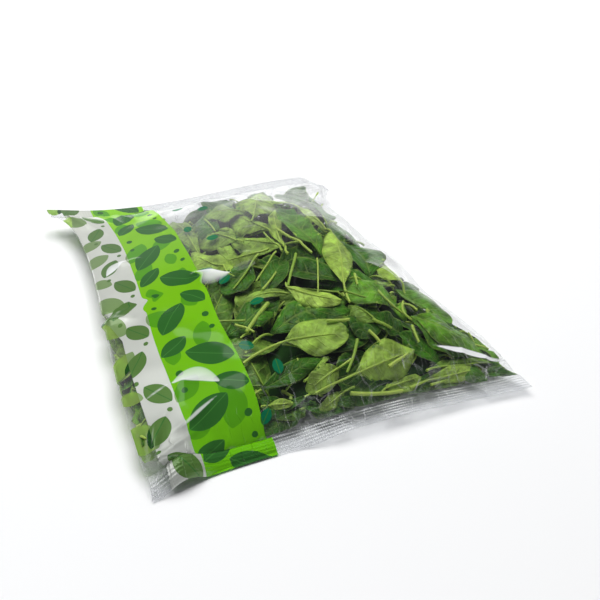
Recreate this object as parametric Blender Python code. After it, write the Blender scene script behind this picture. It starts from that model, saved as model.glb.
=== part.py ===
"""A filled pillow bag of baby spinach lying on its back.

The bag is one tube of clear film, sealed straight across at the front and at the back,
so its section is a flat slit at each seal and a fat rounded loaf over the leaves.
X runs along the seals, Y from the front seal to the back one, and Z is up. The origin is
on the surface that the bag rests on, under the middle of its outline.
"""

import math
import random

import bpy

# Driving sizes, in metres.
BAG_WIDTH = 0.262          # along the front seal
BAG_LENGTH = 0.326         # from the front seal's edge to the back seal's edge
HEAP_HEIGHT = 0.052        # top of the leaves where they lie deepest
SEAL_DEPTH = 0.014         # how far each crimped seal reaches in from its edge
SEAL_THICKNESS = 0.0012

# The heap is deep under the clear side and shallow under the printed side, which is the left.
LOW_SIDE_SHARE = 0.50      # height of the printed side, as a share of the heap's height
SLUMP_DEPTH = 0.0045       # the leaves lie in slow waves from seal to seal
RIGHT_DIP_FRONT = 0.003    # and fall away to the right, most at the back
RIGHT_DIP_BACK = 0.014
SIDE_HEIGHT = 0.017        # where the top sheet turns down into the bottom one

# Powers that set how steeply the tube opens from its seals and how square its section is.
FRONT_FULLNESS = 3.4
BACK_FULLNESS = 2.9
SEAL_STEEPNESS = 0.85
SIDE_FULLNESS = 3.4
SIDE_STEEPNESS = 0.55
GROUNDED_GAIN = 1.5        # the bottom sheet is flat where the tube is two thirds open

# Heights of the seals and of their corners.
FRONT_SEAL_HEIGHT = 0.006
BACK_SEAL_HEIGHT = 0.018
FRONT_CORNER_DROP = 0.003
BACK_CORNER_LIFT = 0.002   # the left back corner stands off the surface
BACK_CORNER_DROP = 0.010   # and the right back one hangs down to it
FRONT_TUCK_HEIGHT = 0.008  # a crease lifts the front seal beside its left corner
FRONT_TUCK_ACROSS = -0.86
FRONT_TUCK_WIDTH = 0.10
FRONT_RIPPLE = 0.0016
BACK_RIPPLE = 0.0055

# Filling a flat tube pulls its edges in and leaves its four corners standing out as ears.
LEFT_PULL_FRONT = -0.003   # the printed side bulges a little past its front corner
LEFT_PULL_BACK = 0.013
RIGHT_PULL_FRONT = 0.008
RIGHT_PULL_BACK = 0.034
PULL_START = 0.4           # a low power: the sides pull in close to the seals
SLOW_PULL_START = 1.1      # the right back shoulder is rounder
SEAL_PULL = 0.005
EAR_REACH = 0.022
EAR_POINT = 0.006

# Leaves press their own shapes into the film.
LEAF_BUMPS = 46
LEAF_BUMP_HEIGHT = 0.0032
LEAF_LENGTH = 0.050
LEAF_SEED = 11

# Facets.
ACROSS = 40                # steps across the top sheet, and as many across the bottom one
ALONG = 50                 # steps from seal to seal
SEAL_STEPS = 2
END_CROWDING = 0.55        # shares of cosine spacing: rings crowd at the seals
SIDE_CROWDING = 0.75       # and points at the rounded sides

FILM_GREEN = (0.16, 0.30, 0.07, 1.0)


def smooth_step(value):
    """0 below 0, 1 above 1, and an even curve between them."""
    value = min(max(value, 0.0), 1.0)
    return value * value * (3.0 - 2.0 * value)


def mix(first, second, share):
    return first + (second - first) * share


def swell_along(along):
    """How far the tube has opened at this share of its length, from 0 at a seal to 1."""
    seal_share = SEAL_DEPTH / BAG_LENGTH
    inside = (along - seal_share) / (1.0 - 2.0 * seal_share)
    if not 0.0 < inside < 1.0:
        return 0.0
    from_middle = abs(2.0 * inside - 1.0)
    fullness = FRONT_FULLNESS if inside < 0.5 else BACK_FULLNESS
    return (1.0 - from_middle ** fullness) ** SEAL_STEEPNESS


def swell_across(across):
    """How far the two sheets stand apart, from 0 at the sides (-1 and 1) to 1."""
    return max(0.0, 1.0 - abs(across) ** SIDE_FULLNESS) ** SIDE_STEEPNESS


def heap_top(across, along):
    """Height of the leaves if the film did not hold them down."""
    deep = smooth_step((across + 0.95) / 1.10)
    height = HEAP_HEIGHT * mix(LOW_SIDE_SHARE, 1.0, deep)
    slump = SLUMP_DEPTH * math.sin(2.3 * math.pi * along + 0.6) * deep
    dip = mix(RIGHT_DIP_FRONT, RIGHT_DIP_BACK, along)
    return height - slump - dip * smooth_step((across - 0.35) / 0.65)


def seal_height(across, along):
    """Height of the two seals' lines, which ripple a little, mixed from front to back."""
    from_tuck = (across - FRONT_TUCK_ACROSS) / FRONT_TUCK_WIDTH
    front = FRONT_SEAL_HEIGHT + FRONT_RIPPLE * math.sin(5.0 * across + 0.8)
    front += FRONT_TUCK_HEIGHT * math.exp(-(from_tuck ** 2))
    back = BACK_SEAL_HEIGHT + BACK_RIPPLE * math.sin(2.6 * across + 5.9)
    back -= BACK_CORNER_DROP * smooth_step((across - 0.78) / 0.22)
    return mix(front, back, smooth_step(along))


def ear_weight(across, along, corner_across, corner_along):
    """1 at one corner of the bag, fading within EAR_REACH."""
    side = (across - corner_across) * 0.5 * BAG_WIDTH / EAR_REACH
    end = (along - corner_along) * BAG_LENGTH / EAR_REACH
    return math.exp(-(side * side + end * end))


def leaf_bumps():
    """Places, turns and sizes of the leaves that show through as raised patches."""
    draw = random.Random(LEAF_SEED)
    bumps = []
    for _ in range(LEAF_BUMPS):
        bumps.append(
            (
                draw.uniform(-0.45, 0.5) * BAG_WIDTH,
                draw.uniform(-0.42, 0.42) * BAG_LENGTH,
                draw.uniform(0.0, math.pi),
                draw.uniform(0.7, 1.15) * LEAF_LENGTH,
                draw.uniform(0.5, 1.0) * LEAF_BUMP_HEIGHT,
            )
        )
    return bumps


def bump_height(x, y, bumps):
    """The sum of the leaf patches here: long, narrow mounds."""
    total = 0.0
    for bump_x, bump_y, turn, length, height in bumps:
        dx, dy = x - bump_x, y - bump_y
        lengthways = (dx * math.cos(turn) + dy * math.sin(turn)) / (0.42 * length)
        sideways = (dy * math.cos(turn) - dx * math.sin(turn)) / (0.20 * length)
        total += height * math.exp(-(lengthways ** 2 + sideways ** 2))
    return total


def plan_place(across, along):
    """X and Y of a point of either sheet."""
    open_share = swell_along(along)
    towards_back = smooth_step(along * 1.3 - 0.1)
    left_pull = mix(LEFT_PULL_FRONT, LEFT_PULL_BACK, towards_back)
    right_pull = mix(RIGHT_PULL_FRONT, RIGHT_PULL_BACK, towards_back)
    if across < 0.0:
        pulled_in = left_pull * open_share ** PULL_START
    else:
        pulled_in = right_pull * open_share ** mix(PULL_START, SLOW_PULL_START, along)
    x = across * (0.5 * BAG_WIDTH - pulled_in)
    y = (along - 0.5) * BAG_LENGTH
    bow = SEAL_PULL * (1.0 - abs(across) ** 3)
    y += bow * max(0.0, 1.0 - 2.0 * along)
    front_ear = ear_weight(across, along, -1.0, 0.0)
    back_ear = ear_weight(across, along, -1.0, 1.0)
    x -= 0.25 * EAR_POINT * front_ear + EAR_POINT * back_ear
    y += 0.35 * EAR_POINT * back_ear - 0.65 * EAR_POINT * front_ear
    return x, y


def sheet_heights(across, along, bumps):
    """Heights of the bottom sheet and the top sheet over one place of the plan."""
    open_along = swell_along(along)
    open_across = swell_across(across)
    middle = mix(seal_height(across, along), SIDE_HEIGHT, open_along)
    middle += BACK_CORNER_LIFT * ear_weight(across, along, -1.0, 1.0)
    middle -= FRONT_CORNER_DROP * ear_weight(across, along, -1.0, 0.0)
    x, y = plan_place(across, along)
    opening = open_along * open_across
    top = mix(middle, heap_top(across, along), opening)
    top += bump_height(x, y, bumps) * opening
    grounded = smooth_step(GROUNDED_GAIN * opening)
    bottom = middle * (1.0 - grounded)
    flange = 0.5 * SEAL_THICKNESS * (1.0 - across ** 8)
    return bottom - flange * (1.0 - grounded), top + flange


def row_shares():
    """Shares of the length at which the tube has a ring: close together at the seals."""
    seal_share = SEAL_DEPTH / BAG_LENGTH
    front = [seal_share * step / SEAL_STEPS for step in range(SEAL_STEPS)]
    body = []
    for step in range(ALONG + 1):
        even = step / ALONG
        eased = 0.5 - 0.5 * math.cos(math.pi * even)
        body.append(mix(seal_share, 1.0 - seal_share, mix(even, eased, END_CROWDING)))
    return front + body + [1.0 - share for share in reversed(front)]


def column_shares():
    """Shares of the half width, from -1 to 1: close together at the rounded sides."""
    shares = []
    for step in range(ACROSS + 1):
        even = 2.0 * step / ACROSS - 1.0
        shares.append(mix(even, math.sin(0.5 * math.pi * even), SIDE_CROWDING))
    return shares


def bag_rings():
    """One closed ring of points for each row: the top sheet left to right, then back below."""
    bumps = leaf_bumps()
    columns = column_shares()
    rings = []
    for along in row_shares():
        top_points, bottom_points = [], []
        for across in columns:
            x, y = plan_place(across, along)
            bottom, top = sheet_heights(across, along, bumps)
            top_points.append((x, y, top))
            bottom_points.append((x, y, bottom))
        rings.append(top_points + bottom_points[-2:0:-1])
    return rings


def centred(points):
    """The points moved so that the outline's middle is over the origin and the lowest is at 0."""
    lows = [min(point[axis] for point in points) for axis in range(3)]
    highs = [max(point[axis] for point in points) for axis in range(3)]
    shift = (0.5 * (lows[0] + highs[0]), 0.5 * (lows[1] + highs[1]), lows[2])
    return [tuple(value - moved for value, moved in zip(point, shift)) for point in points]


def bag_faces(ring_count, ring_size):
    """Two triangles between each pair of neighbours, and a strip that closes each seal's edge."""
    faces = []
    for row in range(ring_count - 1):
        for place in range(ring_size):
            after = (place + 1) % ring_size
            near, far = row * ring_size, (row + 1) * ring_size
            faces.append((near + place, near + after, far + after))
            faces.append((near + place, far + after, far + place))
    last = (ring_count - 1) * ring_size
    for step in range(ACROSS):
        above, next_above = step, step + 1
        below, next_below = (ring_size - step) % ring_size, ring_size - step - 1
        strip = [(above, below, next_below), (above, next_below, next_above)]
        for corners in strip:
            if len(set(corners)) == 3:
                faces.append(corners)
                faces.append(tuple(last + corner for corner in reversed(corners)))
    return faces


def film_material():
    material = bpy.data.materials.new("clear_film_over_leaves")
    material.use_nodes = True
    shader = material.node_tree.nodes["Principled BSDF"]
    shader.inputs["Base Color"].default_value = FILM_GREEN
    shader.inputs["Roughness"].default_value = 0.25
    shader.inputs["Metallic"].default_value = 0.0
    return material


for leftover in list(bpy.data.objects):
    bpy.data.objects.remove(leftover)

rings = bag_rings()
points = centred([point for ring in rings for point in ring])
mesh = bpy.data.meshes.new("spinach_bag")
mesh.from_pydata(points, [], bag_faces(len(rings), len(rings[0])))
mesh.shade_smooth()
mesh.materials.append(film_material())
bag = bpy.data.objects.new("spinach_bag", mesh)
bpy.context.scene.collection.objects.link(bag)
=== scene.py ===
import math
import random

import bpy
import numpy as np
from mathutils import Matrix, Vector


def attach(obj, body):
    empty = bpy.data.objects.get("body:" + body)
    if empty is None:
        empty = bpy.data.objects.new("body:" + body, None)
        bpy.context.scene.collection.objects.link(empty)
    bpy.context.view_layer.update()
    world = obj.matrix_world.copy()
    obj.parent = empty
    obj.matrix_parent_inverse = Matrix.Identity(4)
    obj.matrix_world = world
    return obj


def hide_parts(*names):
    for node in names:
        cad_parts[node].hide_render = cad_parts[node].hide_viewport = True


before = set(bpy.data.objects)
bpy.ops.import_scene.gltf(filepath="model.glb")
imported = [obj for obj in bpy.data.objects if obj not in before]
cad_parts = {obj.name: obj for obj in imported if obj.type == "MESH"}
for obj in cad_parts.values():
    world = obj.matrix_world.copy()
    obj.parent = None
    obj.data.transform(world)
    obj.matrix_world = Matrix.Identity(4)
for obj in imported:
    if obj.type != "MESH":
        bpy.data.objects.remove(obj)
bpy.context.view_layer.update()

# The camera stands in front of the bag, to its left and above it. Its place and turn were
# fitted to the bag's corners and sides, and its view is kept here because some leaves and
# creases are set down where a pixel of the photograph shows them.
CAMERA_PLACE = np.array((-0.1881, -0.4235, 0.3068))
CAMERA_AZIMUTH = math.radians(27.70)
CAMERA_DOWN = math.radians(33.09)
CAMERA_ROLL = math.radians(5.27)
CAMERA_LENS = 42.56
SENSOR_WIDTH = 36.0
PHOTO_SIZE = 600


def camera_axes():
    """The camera's right, up and forward directions."""
    flat = math.cos(CAMERA_DOWN)
    forward = np.array(
        (math.sin(CAMERA_AZIMUTH) * flat, math.cos(CAMERA_AZIMUTH) * flat, -math.sin(CAMERA_DOWN))
    )
    level = np.array((math.cos(CAMERA_AZIMUTH), -math.sin(CAMERA_AZIMUTH), 0.0))
    above = np.cross(level, forward)
    right = level * math.cos(CAMERA_ROLL) + above * math.sin(CAMERA_ROLL)
    return right, np.cross(right, forward), forward


def photo_pixels(points):
    """Column, row and distance at which the camera sees each point."""
    right, up, forward = camera_axes()
    away = np.asarray(points) - CAMERA_PLACE
    focal = CAMERA_LENS / SENSOR_WIDTH * PHOTO_SIZE
    depth = away @ forward
    column = 0.5 * PHOTO_SIZE + focal * (away @ right) / depth
    row = 0.5 * PHOTO_SIZE - focal * (away @ up) / depth
    return column, row, depth


def new_object(name, data):
    """An object with this mesh, camera or lamp, at the origin of the scene."""
    made = bpy.data.objects.new(name, data)
    bpy.context.scene.collection.objects.link(made)
    return made


camera_data = bpy.data.cameras.new("camera")
camera_data.lens = CAMERA_LENS
camera_data.sensor_width = SENSOR_WIDTH
camera_data.clip_start = 0.01
camera = new_object("camera", camera_data)
camera_right, camera_up, camera_forward = camera_axes()
camera_turn = Matrix((camera_right, camera_up, -camera_forward)).transposed()
camera.matrix_world = Matrix.Translation(CAMERA_PLACE) @ camera_turn.to_4x4()
bpy.context.scene.camera = camera


# The bag is one tube of thin clear film, closed across its ends by the two seals and blown up
# by the leaves. Here is its shape between the seals, from the same sizes as the CAD solid: two
# sheets that part from each other at the seals and meet at the rounded sides.
BAG_WIDTH = 0.262
BAG_LENGTH = 0.326
HEAP_HEIGHT = 0.052
SEAL_DEPTH = 0.014
SEAL_SHARE = SEAL_DEPTH / BAG_LENGTH
SEAL_THICKNESS = 0.0004
LOW_SIDE_SHARE = 0.50          # the heap is lower at the left and grows deep over this stretch
DEEP_FROM = -0.95              # places across run from -1 at the left to 1, along from 0 to 1
DEEP_REACH = 1.10
SLUMP_DEPTH = 0.0045
SLUMP_TURN = 2.3 * math.pi
SLUMP_START = 0.6
RIGHT_DIP_FRONT = 0.003
RIGHT_DIP_BACK = 0.014
RIGHT_DIP_FROM = 0.35
SIDE_HEIGHT = 0.017
FRONT_FULLNESS = 3.4
BACK_FULLNESS = 2.9
SEAL_STEEPNESS = 0.85
SIDE_FULLNESS = 3.4
SIDE_STEEPNESS = 0.55
GROUNDED_GAIN = 1.5
FRONT_SEAL_HEIGHT = 0.006
BACK_SEAL_HEIGHT = 0.018
FRONT_CORNER_DROP = 0.003
BACK_CORNER_LIFT = 0.002
BACK_CORNER_DROP = 0.010
BACK_CORNER_FROM = 0.78
BACK_CORNER_REACH = 0.22
FRONT_TUCK_HEIGHT = 0.008
FRONT_TUCK = (-0.86, 0.10)     # middle and half width
FRONT_RIPPLE = (0.0016, 5.0, 0.8)    # height, turn from the bag's middle to its side, and start
BACK_RIPPLE = (0.0055, 2.6, 5.9)
LEFT_PULL_FRONT = -0.003
LEFT_PULL_BACK = 0.013
RIGHT_PULL_FRONT = 0.008
RIGHT_PULL_BACK = 0.034
PULL_GAIN, PULL_DELAY = 1.3, 0.1     # how the pull grows from the front to the back
PULL_START = 0.4
SLOW_PULL_START = 1.1
RIGHT_WAIST = 0.0080
WAIST_PLACE = (0.29, 0.10)     # middle and half width along the bag, as the three that follow
RIGHT_SHOULDER = 0.0050
SHOULDER_PLACE = (0.70, 0.08)
LEFT_DENT = 0.0040             # the pleat at the left side: a dent, and a bulge in front of it
DENT_PLACE = (0.470, 0.010)
BULGE_PLACE = (0.442, 0.012)
BULGE_SHARE = 0.5
DENT_STEEPNESS = 10
SEAL_PULL = 0.005
SEAL_PULL_STEEPNESS = 3
EAR_REACH = 0.022
EAR_POINT = 0.006
FRONT_EAR = (0.25 * EAR_POINT, 0.65 * EAR_POINT)    # out to the side and past the seal
BACK_EAR = (EAR_POINT, 0.35 * EAR_POINT)
FLANGE_STEEPNESS = 8
LEAF_BUMPS = 46
LEAF_BUMP_HEIGHT = 0.0032
LEAF_LENGTH = 0.050
BUMP_SHAPE = (0.42, 0.20)      # half a bump's length and width, as shares of a leaf's length
BUMPS_ACROSS = (-0.45, 0.5)    # where they may be, in shares of the bag's width and its length
BUMPS_ALONG = (-0.42, 0.42)
BUMP_LENGTHS = (0.7, 1.15)     # and their sizes, in shares of the whole length and height
BUMP_HEIGHTS = (0.5, 1.0)
LEAF_SEED = 11

FILM_WIDTH = 0.270         # across one sheet of the flattened tube
LIME_START = 0.032         # the lime band of the print, measured across from the left fold
LIME_END = 0.0785
PRINTED_STEP = 0.0010      # facets of the printed film, the clear film above and the one below
CLEAR_STEP = 0.0015
BOTTOM_STEP = 0.0024
ROW_STEP = 0.00135
PROBE_COLUMNS, PROBE_ROWS = 241, 401
DENSE_COLUMNS, DENSE_ROWS = 901, 900
SOFTENING = 6


def smooth_step(value):
    """0 below 0, 1 above 1, and an even curve between them."""
    value = np.clip(value, 0.0, 1.0)
    return value * value * (3.0 - 2.0 * value)


def mix(first, second, share):
    """Between the first, at share 0, and the second, at share 1."""
    return first + (second - first) * share


def mound(place, middle, half_width):
    """1 at the middle, fading evenly to both sides."""
    return np.exp(-(((place - middle) / half_width) ** 2))


def ripple(across, height, turn, start):
    """A wave of this height across the bag, with its turn from the middle to a side."""
    return height * np.sin(turn * across + start)


def swell_along(along):
    """How far the tube has opened at this share of its length."""
    inside = np.clip((along - SEAL_SHARE) / (1.0 - 2.0 * SEAL_SHARE), 0.0, 1.0)
    from_middle = np.abs(2.0 * inside - 1.0)
    fullness = np.where(inside < 0.5, FRONT_FULLNESS, BACK_FULLNESS)
    return np.maximum(0.0, 1.0 - from_middle ** fullness) ** SEAL_STEEPNESS


def swell_across(across):
    """How far the two sheets stand apart, from 0 at the sides (-1 and 1) to 1."""
    return np.maximum(0.0, 1.0 - np.abs(across) ** SIDE_FULLNESS) ** SIDE_STEEPNESS


def heap_top(across, along):
    """Height of the leaves if the film did not hold them down."""
    deep = smooth_step((across - DEEP_FROM) / DEEP_REACH)
    slump = SLUMP_DEPTH * np.sin(SLUMP_TURN * along + SLUMP_START) * deep
    dip = mix(RIGHT_DIP_FRONT, RIGHT_DIP_BACK, along)
    dip = dip * smooth_step((across - RIGHT_DIP_FROM) / (1.0 - RIGHT_DIP_FROM))
    return HEAP_HEIGHT * mix(LOW_SIDE_SHARE, 1.0, deep) - slump - dip


def seal_height(across, along):
    """Height of the two seals' lines, mixed from front to back."""
    front = FRONT_SEAL_HEIGHT + ripple(across, *FRONT_RIPPLE)
    front = front + FRONT_TUCK_HEIGHT * mound(across, *FRONT_TUCK)
    back = BACK_SEAL_HEIGHT + ripple(across, *BACK_RIPPLE)
    back = back - BACK_CORNER_DROP * smooth_step((across - BACK_CORNER_FROM) / BACK_CORNER_REACH)
    return mix(front, back, smooth_step(along))


def ear_weight(across, along, corner_across, corner_along):
    """1 at one corner of the bag, fading within EAR_REACH."""
    side = (across - corner_across) * 0.5 * BAG_WIDTH / EAR_REACH
    end = (along - corner_along) * BAG_LENGTH / EAR_REACH
    return np.exp(-(side * side + end * end))


def bump_height(x, y):
    """Long, narrow mounds where leaves press their shapes into the film."""
    draw = random.Random(LEAF_SEED)
    total = np.zeros(np.shape(x))
    for _ in range(LEAF_BUMPS):
        dx = x - draw.uniform(*BUMPS_ACROSS) * BAG_WIDTH
        dy = y - draw.uniform(*BUMPS_ALONG) * BAG_LENGTH
        turn = draw.uniform(0.0, math.pi)
        length = draw.uniform(*BUMP_LENGTHS) * LEAF_LENGTH
        height = draw.uniform(*BUMP_HEIGHTS) * LEAF_BUMP_HEIGHT
        lengthways = (dx * math.cos(turn) + dy * math.sin(turn)) / (BUMP_SHAPE[0] * length)
        sideways = (dy * math.cos(turn) - dx * math.sin(turn)) / (BUMP_SHAPE[1] * length)
        total = total + height * np.exp(-(lengthways ** 2 + sideways ** 2))
    return total


def plan_place(across, along):
    """X and Y of a point of either sheet."""
    open_share = swell_along(along)
    towards_back = smooth_step(along * PULL_GAIN - PULL_DELAY)
    left_pull = mix(LEFT_PULL_FRONT, LEFT_PULL_BACK, towards_back) * open_share ** PULL_START
    dent = mound(along, *DENT_PLACE) - BULGE_SHARE * mound(along, *BULGE_PLACE)
    left_pull = left_pull + LEFT_DENT * dent * np.abs(across) ** DENT_STEEPNESS
    right_pull = mix(RIGHT_PULL_FRONT, RIGHT_PULL_BACK, towards_back)
    right_pull = right_pull * open_share ** mix(PULL_START, SLOW_PULL_START, along)
    right_pull = right_pull + RIGHT_WAIST * mound(along, *WAIST_PLACE)
    right_pull = right_pull - RIGHT_SHOULDER * mound(along, *SHOULDER_PLACE)
    x = across * (0.5 * BAG_WIDTH - np.where(across < 0.0, left_pull, right_pull))
    bow = SEAL_PULL * (1.0 - np.abs(across) ** SEAL_PULL_STEEPNESS) * np.maximum(0.0, 1.0 - 2.0 * along)
    front_ear = ear_weight(across, along, -1.0, 0.0)
    back_ear = ear_weight(across, along, -1.0, 1.0)
    x = x - FRONT_EAR[0] * front_ear - BACK_EAR[0] * back_ear
    y = (along - 0.5) * BAG_LENGTH + bow
    return x, y + BACK_EAR[1] * back_ear - FRONT_EAR[1] * front_ear


def film_sheets(across, along):
    """The top sheet's points and the bottom sheet's, as two arrays of places."""
    open_along = swell_along(along)
    opening = open_along * swell_across(across)
    middle = mix(seal_height(across, along), SIDE_HEIGHT, open_along)
    middle = middle + BACK_CORNER_LIFT * ear_weight(across, along, -1.0, 1.0)
    middle = middle - FRONT_CORNER_DROP * ear_weight(across, along, -1.0, 0.0)
    x, y = plan_place(across, along)
    top = mix(middle, heap_top(across, along), opening) + bump_height(x, y) * opening
    grounded = smooth_step(GROUNDED_GAIN * opening)
    flange = 0.5 * SEAL_THICKNESS * (1.0 - across ** FLANGE_STEEPNESS)
    bottom = middle * (1.0 - grounded) - flange * (1.0 - grounded)
    return np.stack((x, y, top + flange), -1), np.stack((x, y, bottom), -1)


def frame_shift():
    """What moves the formula's points into the frame, where the CAD box is centred."""
    across = np.linspace(-1.0, 1.0, PROBE_COLUMNS)[None, :]
    along = np.linspace(0.0, 1.0, PROBE_ROWS)[:, None]
    both = np.concatenate([sheet.reshape(-1, 3) for sheet in film_sheets(across, along)])
    low, high = both.min(0), both.max(0)
    return -np.array((0.5 * (low[0] + high[0]), 0.5 * (low[1] + high[1]), low[2]))


def spread_evenly(points, wanted):
    """Points along each row's line, at these shares of that row's own length."""
    steps = np.linalg.norm(np.diff(points, axis=1), axis=2)
    travelled = np.concatenate([np.zeros((len(points), 1)), np.cumsum(steps, axis=1)], axis=1)
    travelled /= travelled[:, -1:]
    spread = np.empty((len(points), len(wanted), 3))
    for row, (line, shares) in enumerate(zip(points, travelled)):
        for axis in range(3):
            spread[row, :, axis] = np.interp(wanted, shares, line[:, axis])
    return spread


def stepped(start, end, step):
    """Places from start up to, and without, end."""
    count = max(1, round((end - start) / step))
    return start + (end - start) * np.arange(count) / count


# Where the film's grid has its columns (metres across the flat tube, top sheet first) and rows.
film_columns = np.concatenate(
    (
        stepped(0.0, LIME_END, PRINTED_STEP),
        stepped(LIME_END, FILM_WIDTH, CLEAR_STEP),
        stepped(FILM_WIDTH, 2.0 * FILM_WIDTH, BOTTOM_STEP),
    )
)
top_columns = int(np.searchsorted(film_columns, FILM_WIDTH))
film_shift = frame_shift()

dense_along = np.linspace(SEAL_SHARE, 1.0 - SEAL_SHARE, DENSE_ROWS)
probe_top, _ = film_sheets(np.linspace(-0.7, 0.7, 15)[None, :], dense_along[:, None])
row_travel = np.linalg.norm(np.diff(probe_top, axis=0), axis=2).mean(axis=1)
dense_travel = np.concatenate(([0.0], np.cumsum(row_travel)))
FILM_LENGTH = float(dense_travel[-1])
film_rows = np.linspace(0.0, FILM_LENGTH, round(FILM_LENGTH / ROW_STEP) + 1)
row_along = np.interp(film_rows, dense_travel, dense_along)

dense_across = np.sin(0.5 * math.pi * np.linspace(-1.0, 1.0, DENSE_COLUMNS))
top_dense, bottom_dense = film_sheets(dense_across[None, :], row_along[:, None])
top_shares = film_columns[:top_columns] / FILM_WIDTH
bottom_shares = film_columns[top_columns:] / FILM_WIDTH - 1.0
film_points = np.concatenate(
    (spread_evenly(top_dense, top_shares), spread_evenly(bottom_dense[:, ::-1], bottom_shares)),
    axis=1,
)
film_points += film_shift


def outward(points):
    """Unit normals of the closed tube, facing out."""
    sideways = np.roll(points, -1, axis=1) - np.roll(points, 1, axis=1)
    endways = np.gradient(points, axis=0)
    normals = np.cross(sideways, endways)
    return normals / np.maximum(np.linalg.norm(normals, axis=2, keepdims=True), 1e-12)


def softened(field, passes):
    """The field with its neighbours mixed in, round the tube and along it."""
    for _ in range(passes):
        field = 0.5 * field + 0.25 * (np.roll(field, 1, axis=1) + np.roll(field, -1, axis=1))
        padded = np.concatenate((field[:1], field, field[-1:]))
        field = 0.5 * field + 0.25 * (padded[:-2] + padded[2:])
    return field


film_normals = softened(outward(film_points), SOFTENING)
film_normals /= np.linalg.norm(film_normals, axis=2, keepdims=True)


NEAREST_POINTS = 5
FARTHER_COUNTS = 40.0          # pixels that a metre farther off counts as
HIDDEN_COUNTS = 1e3
CLOSEST_MISS = 0.05


def film_place(column, row):
    """Where on the flat film, across and along it, the camera sees it at a pixel of the photo."""
    seen_columns, seen_rows, depth = seen_film
    miss = np.hypot(seen_columns - column, seen_rows - row)
    score = miss + FARTHER_COUNTS * (depth - depth.min()) + np.where(facing_camera, 0.0, HIDDEN_COUNTS)
    nearest = np.argsort(score, axis=None)[:NEAREST_POINTS]
    weights = 1.0 / (miss.ravel()[nearest] + CLOSEST_MISS)
    at_row, at_column = np.unravel_index(nearest, miss.shape)
    across = np.average(film_columns[at_column], weights=weights)
    return float(across), float(np.average(film_rows[at_row], weights=weights))


top_film = film_points[:, :top_columns]
seen_film = photo_pixels(top_film)
facing_camera = np.sum((CAMERA_PLACE - top_film) * film_normals[:, :top_columns], axis=2) > 0.0


# Creases stand on the film where it was pulled or pinched: long ones where the camera sees them,
# and short random ones that run in from both seals and out of the ears. Each is a sharp ridge.
# Columns: pixel at one end, pixel at the other, height and half width in metres.
SEEN_CREASES = (
    ((166, 438), (226, 388), 0.0024, 0.0040),
    ((150, 466), (188, 468), 0.0030, 0.0045),
    ((160, 452), (176, 478), 0.0022, 0.0035),
    ((173, 384), (218, 374), 0.0030, 0.0075),
    ((112, 268), (152, 256), 0.0024, 0.0050),
    ((100, 322), (142, 318), 0.0035, 0.0050),
    ((186, 276), (236, 272), 0.0026, 0.0055),
    ((404, 342), (520, 368), 0.0030, 0.0045),
    ((452, 372), (522, 371), 0.0016, 0.0030),
    ((484, 352), (486, 382), 0.0016, 0.0022),
    ((440, 366), (434, 398), 0.0016, 0.0024),
    ((408, 384), (426, 404), 0.0014, 0.0020),
    ((360, 262), (402, 280), 0.0022, 0.0060),
    ((238, 250), (300, 300), 0.0010, 0.0050),
    ((196, 196), (250, 236), 0.0012, 0.0060),
    ((232, 190), (262, 216), 0.0012, 0.0050),
    ((330, 200), (352, 240), 0.0014, 0.0060),
)
FRONT_CREASES = 34
BACK_CREASES = 26
CORNER_CREASES = 6
CREASE_FADE = 0.45             # the share of a crease's length over which its far end runs out
SEALED_DOWN = 0.004            # creases die out this close to a seal and to the floor
CREASED_AT_SEAL = 0.15
FLAT_ON_FLOOR = 0.0004
CREASE_WANDER = (0.1, 0.9)     # where a short crease starts, in its own part of the seal
CREASE_LENGTH = (0.014, 0.050)
CREASE_SLANT = 0.25
CREASE_HEIGHT = (0.0005, 0.0016)
CREASE_HALF_WIDTH = (0.0014, 0.0030)
CREASE_FADE_IN = 0.1
CORNER_CREASE_START = 0.003    # the same for those that run out of the ears
CORNER_CREASE_TURN = (0.15, 1.45)
CORNER_CREASE_LENGTH = (0.025, 0.070)
CORNER_CREASE_HEIGHT = (0.0006, 0.0018)
CORNER_CREASE_HALF_WIDTH = 0.0026
CREASE_SEED = 5


def beside_line(start, end):
    """For each point of the film's grid, its share of the way from start to end and how far it
    is aside of their line; and the line's length."""
    run = np.array(end) - np.array(start)
    length = math.hypot(*run)
    run = run / length
    across = film_columns[None, :] - start[0]
    along = film_rows[:, None] - start[1]
    return (across * run[0] + along * run[1]) / length, along * run[0] - across * run[1], length


def raise_crease(lift, start, end, height, half_width, fade_in=0.25):
    """Adds a sharp ridge between two places of the flat film to the lift of its grid."""
    travelled, aside, _ = beside_line(start, end)
    aside = np.abs(aside) / half_width
    fade = smooth_step(travelled / fade_in) * smooth_step((1.0 - travelled) / CREASE_FADE)
    lift += height * fade * np.exp(-aside) * smooth_step(3.0 - aside)


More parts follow.
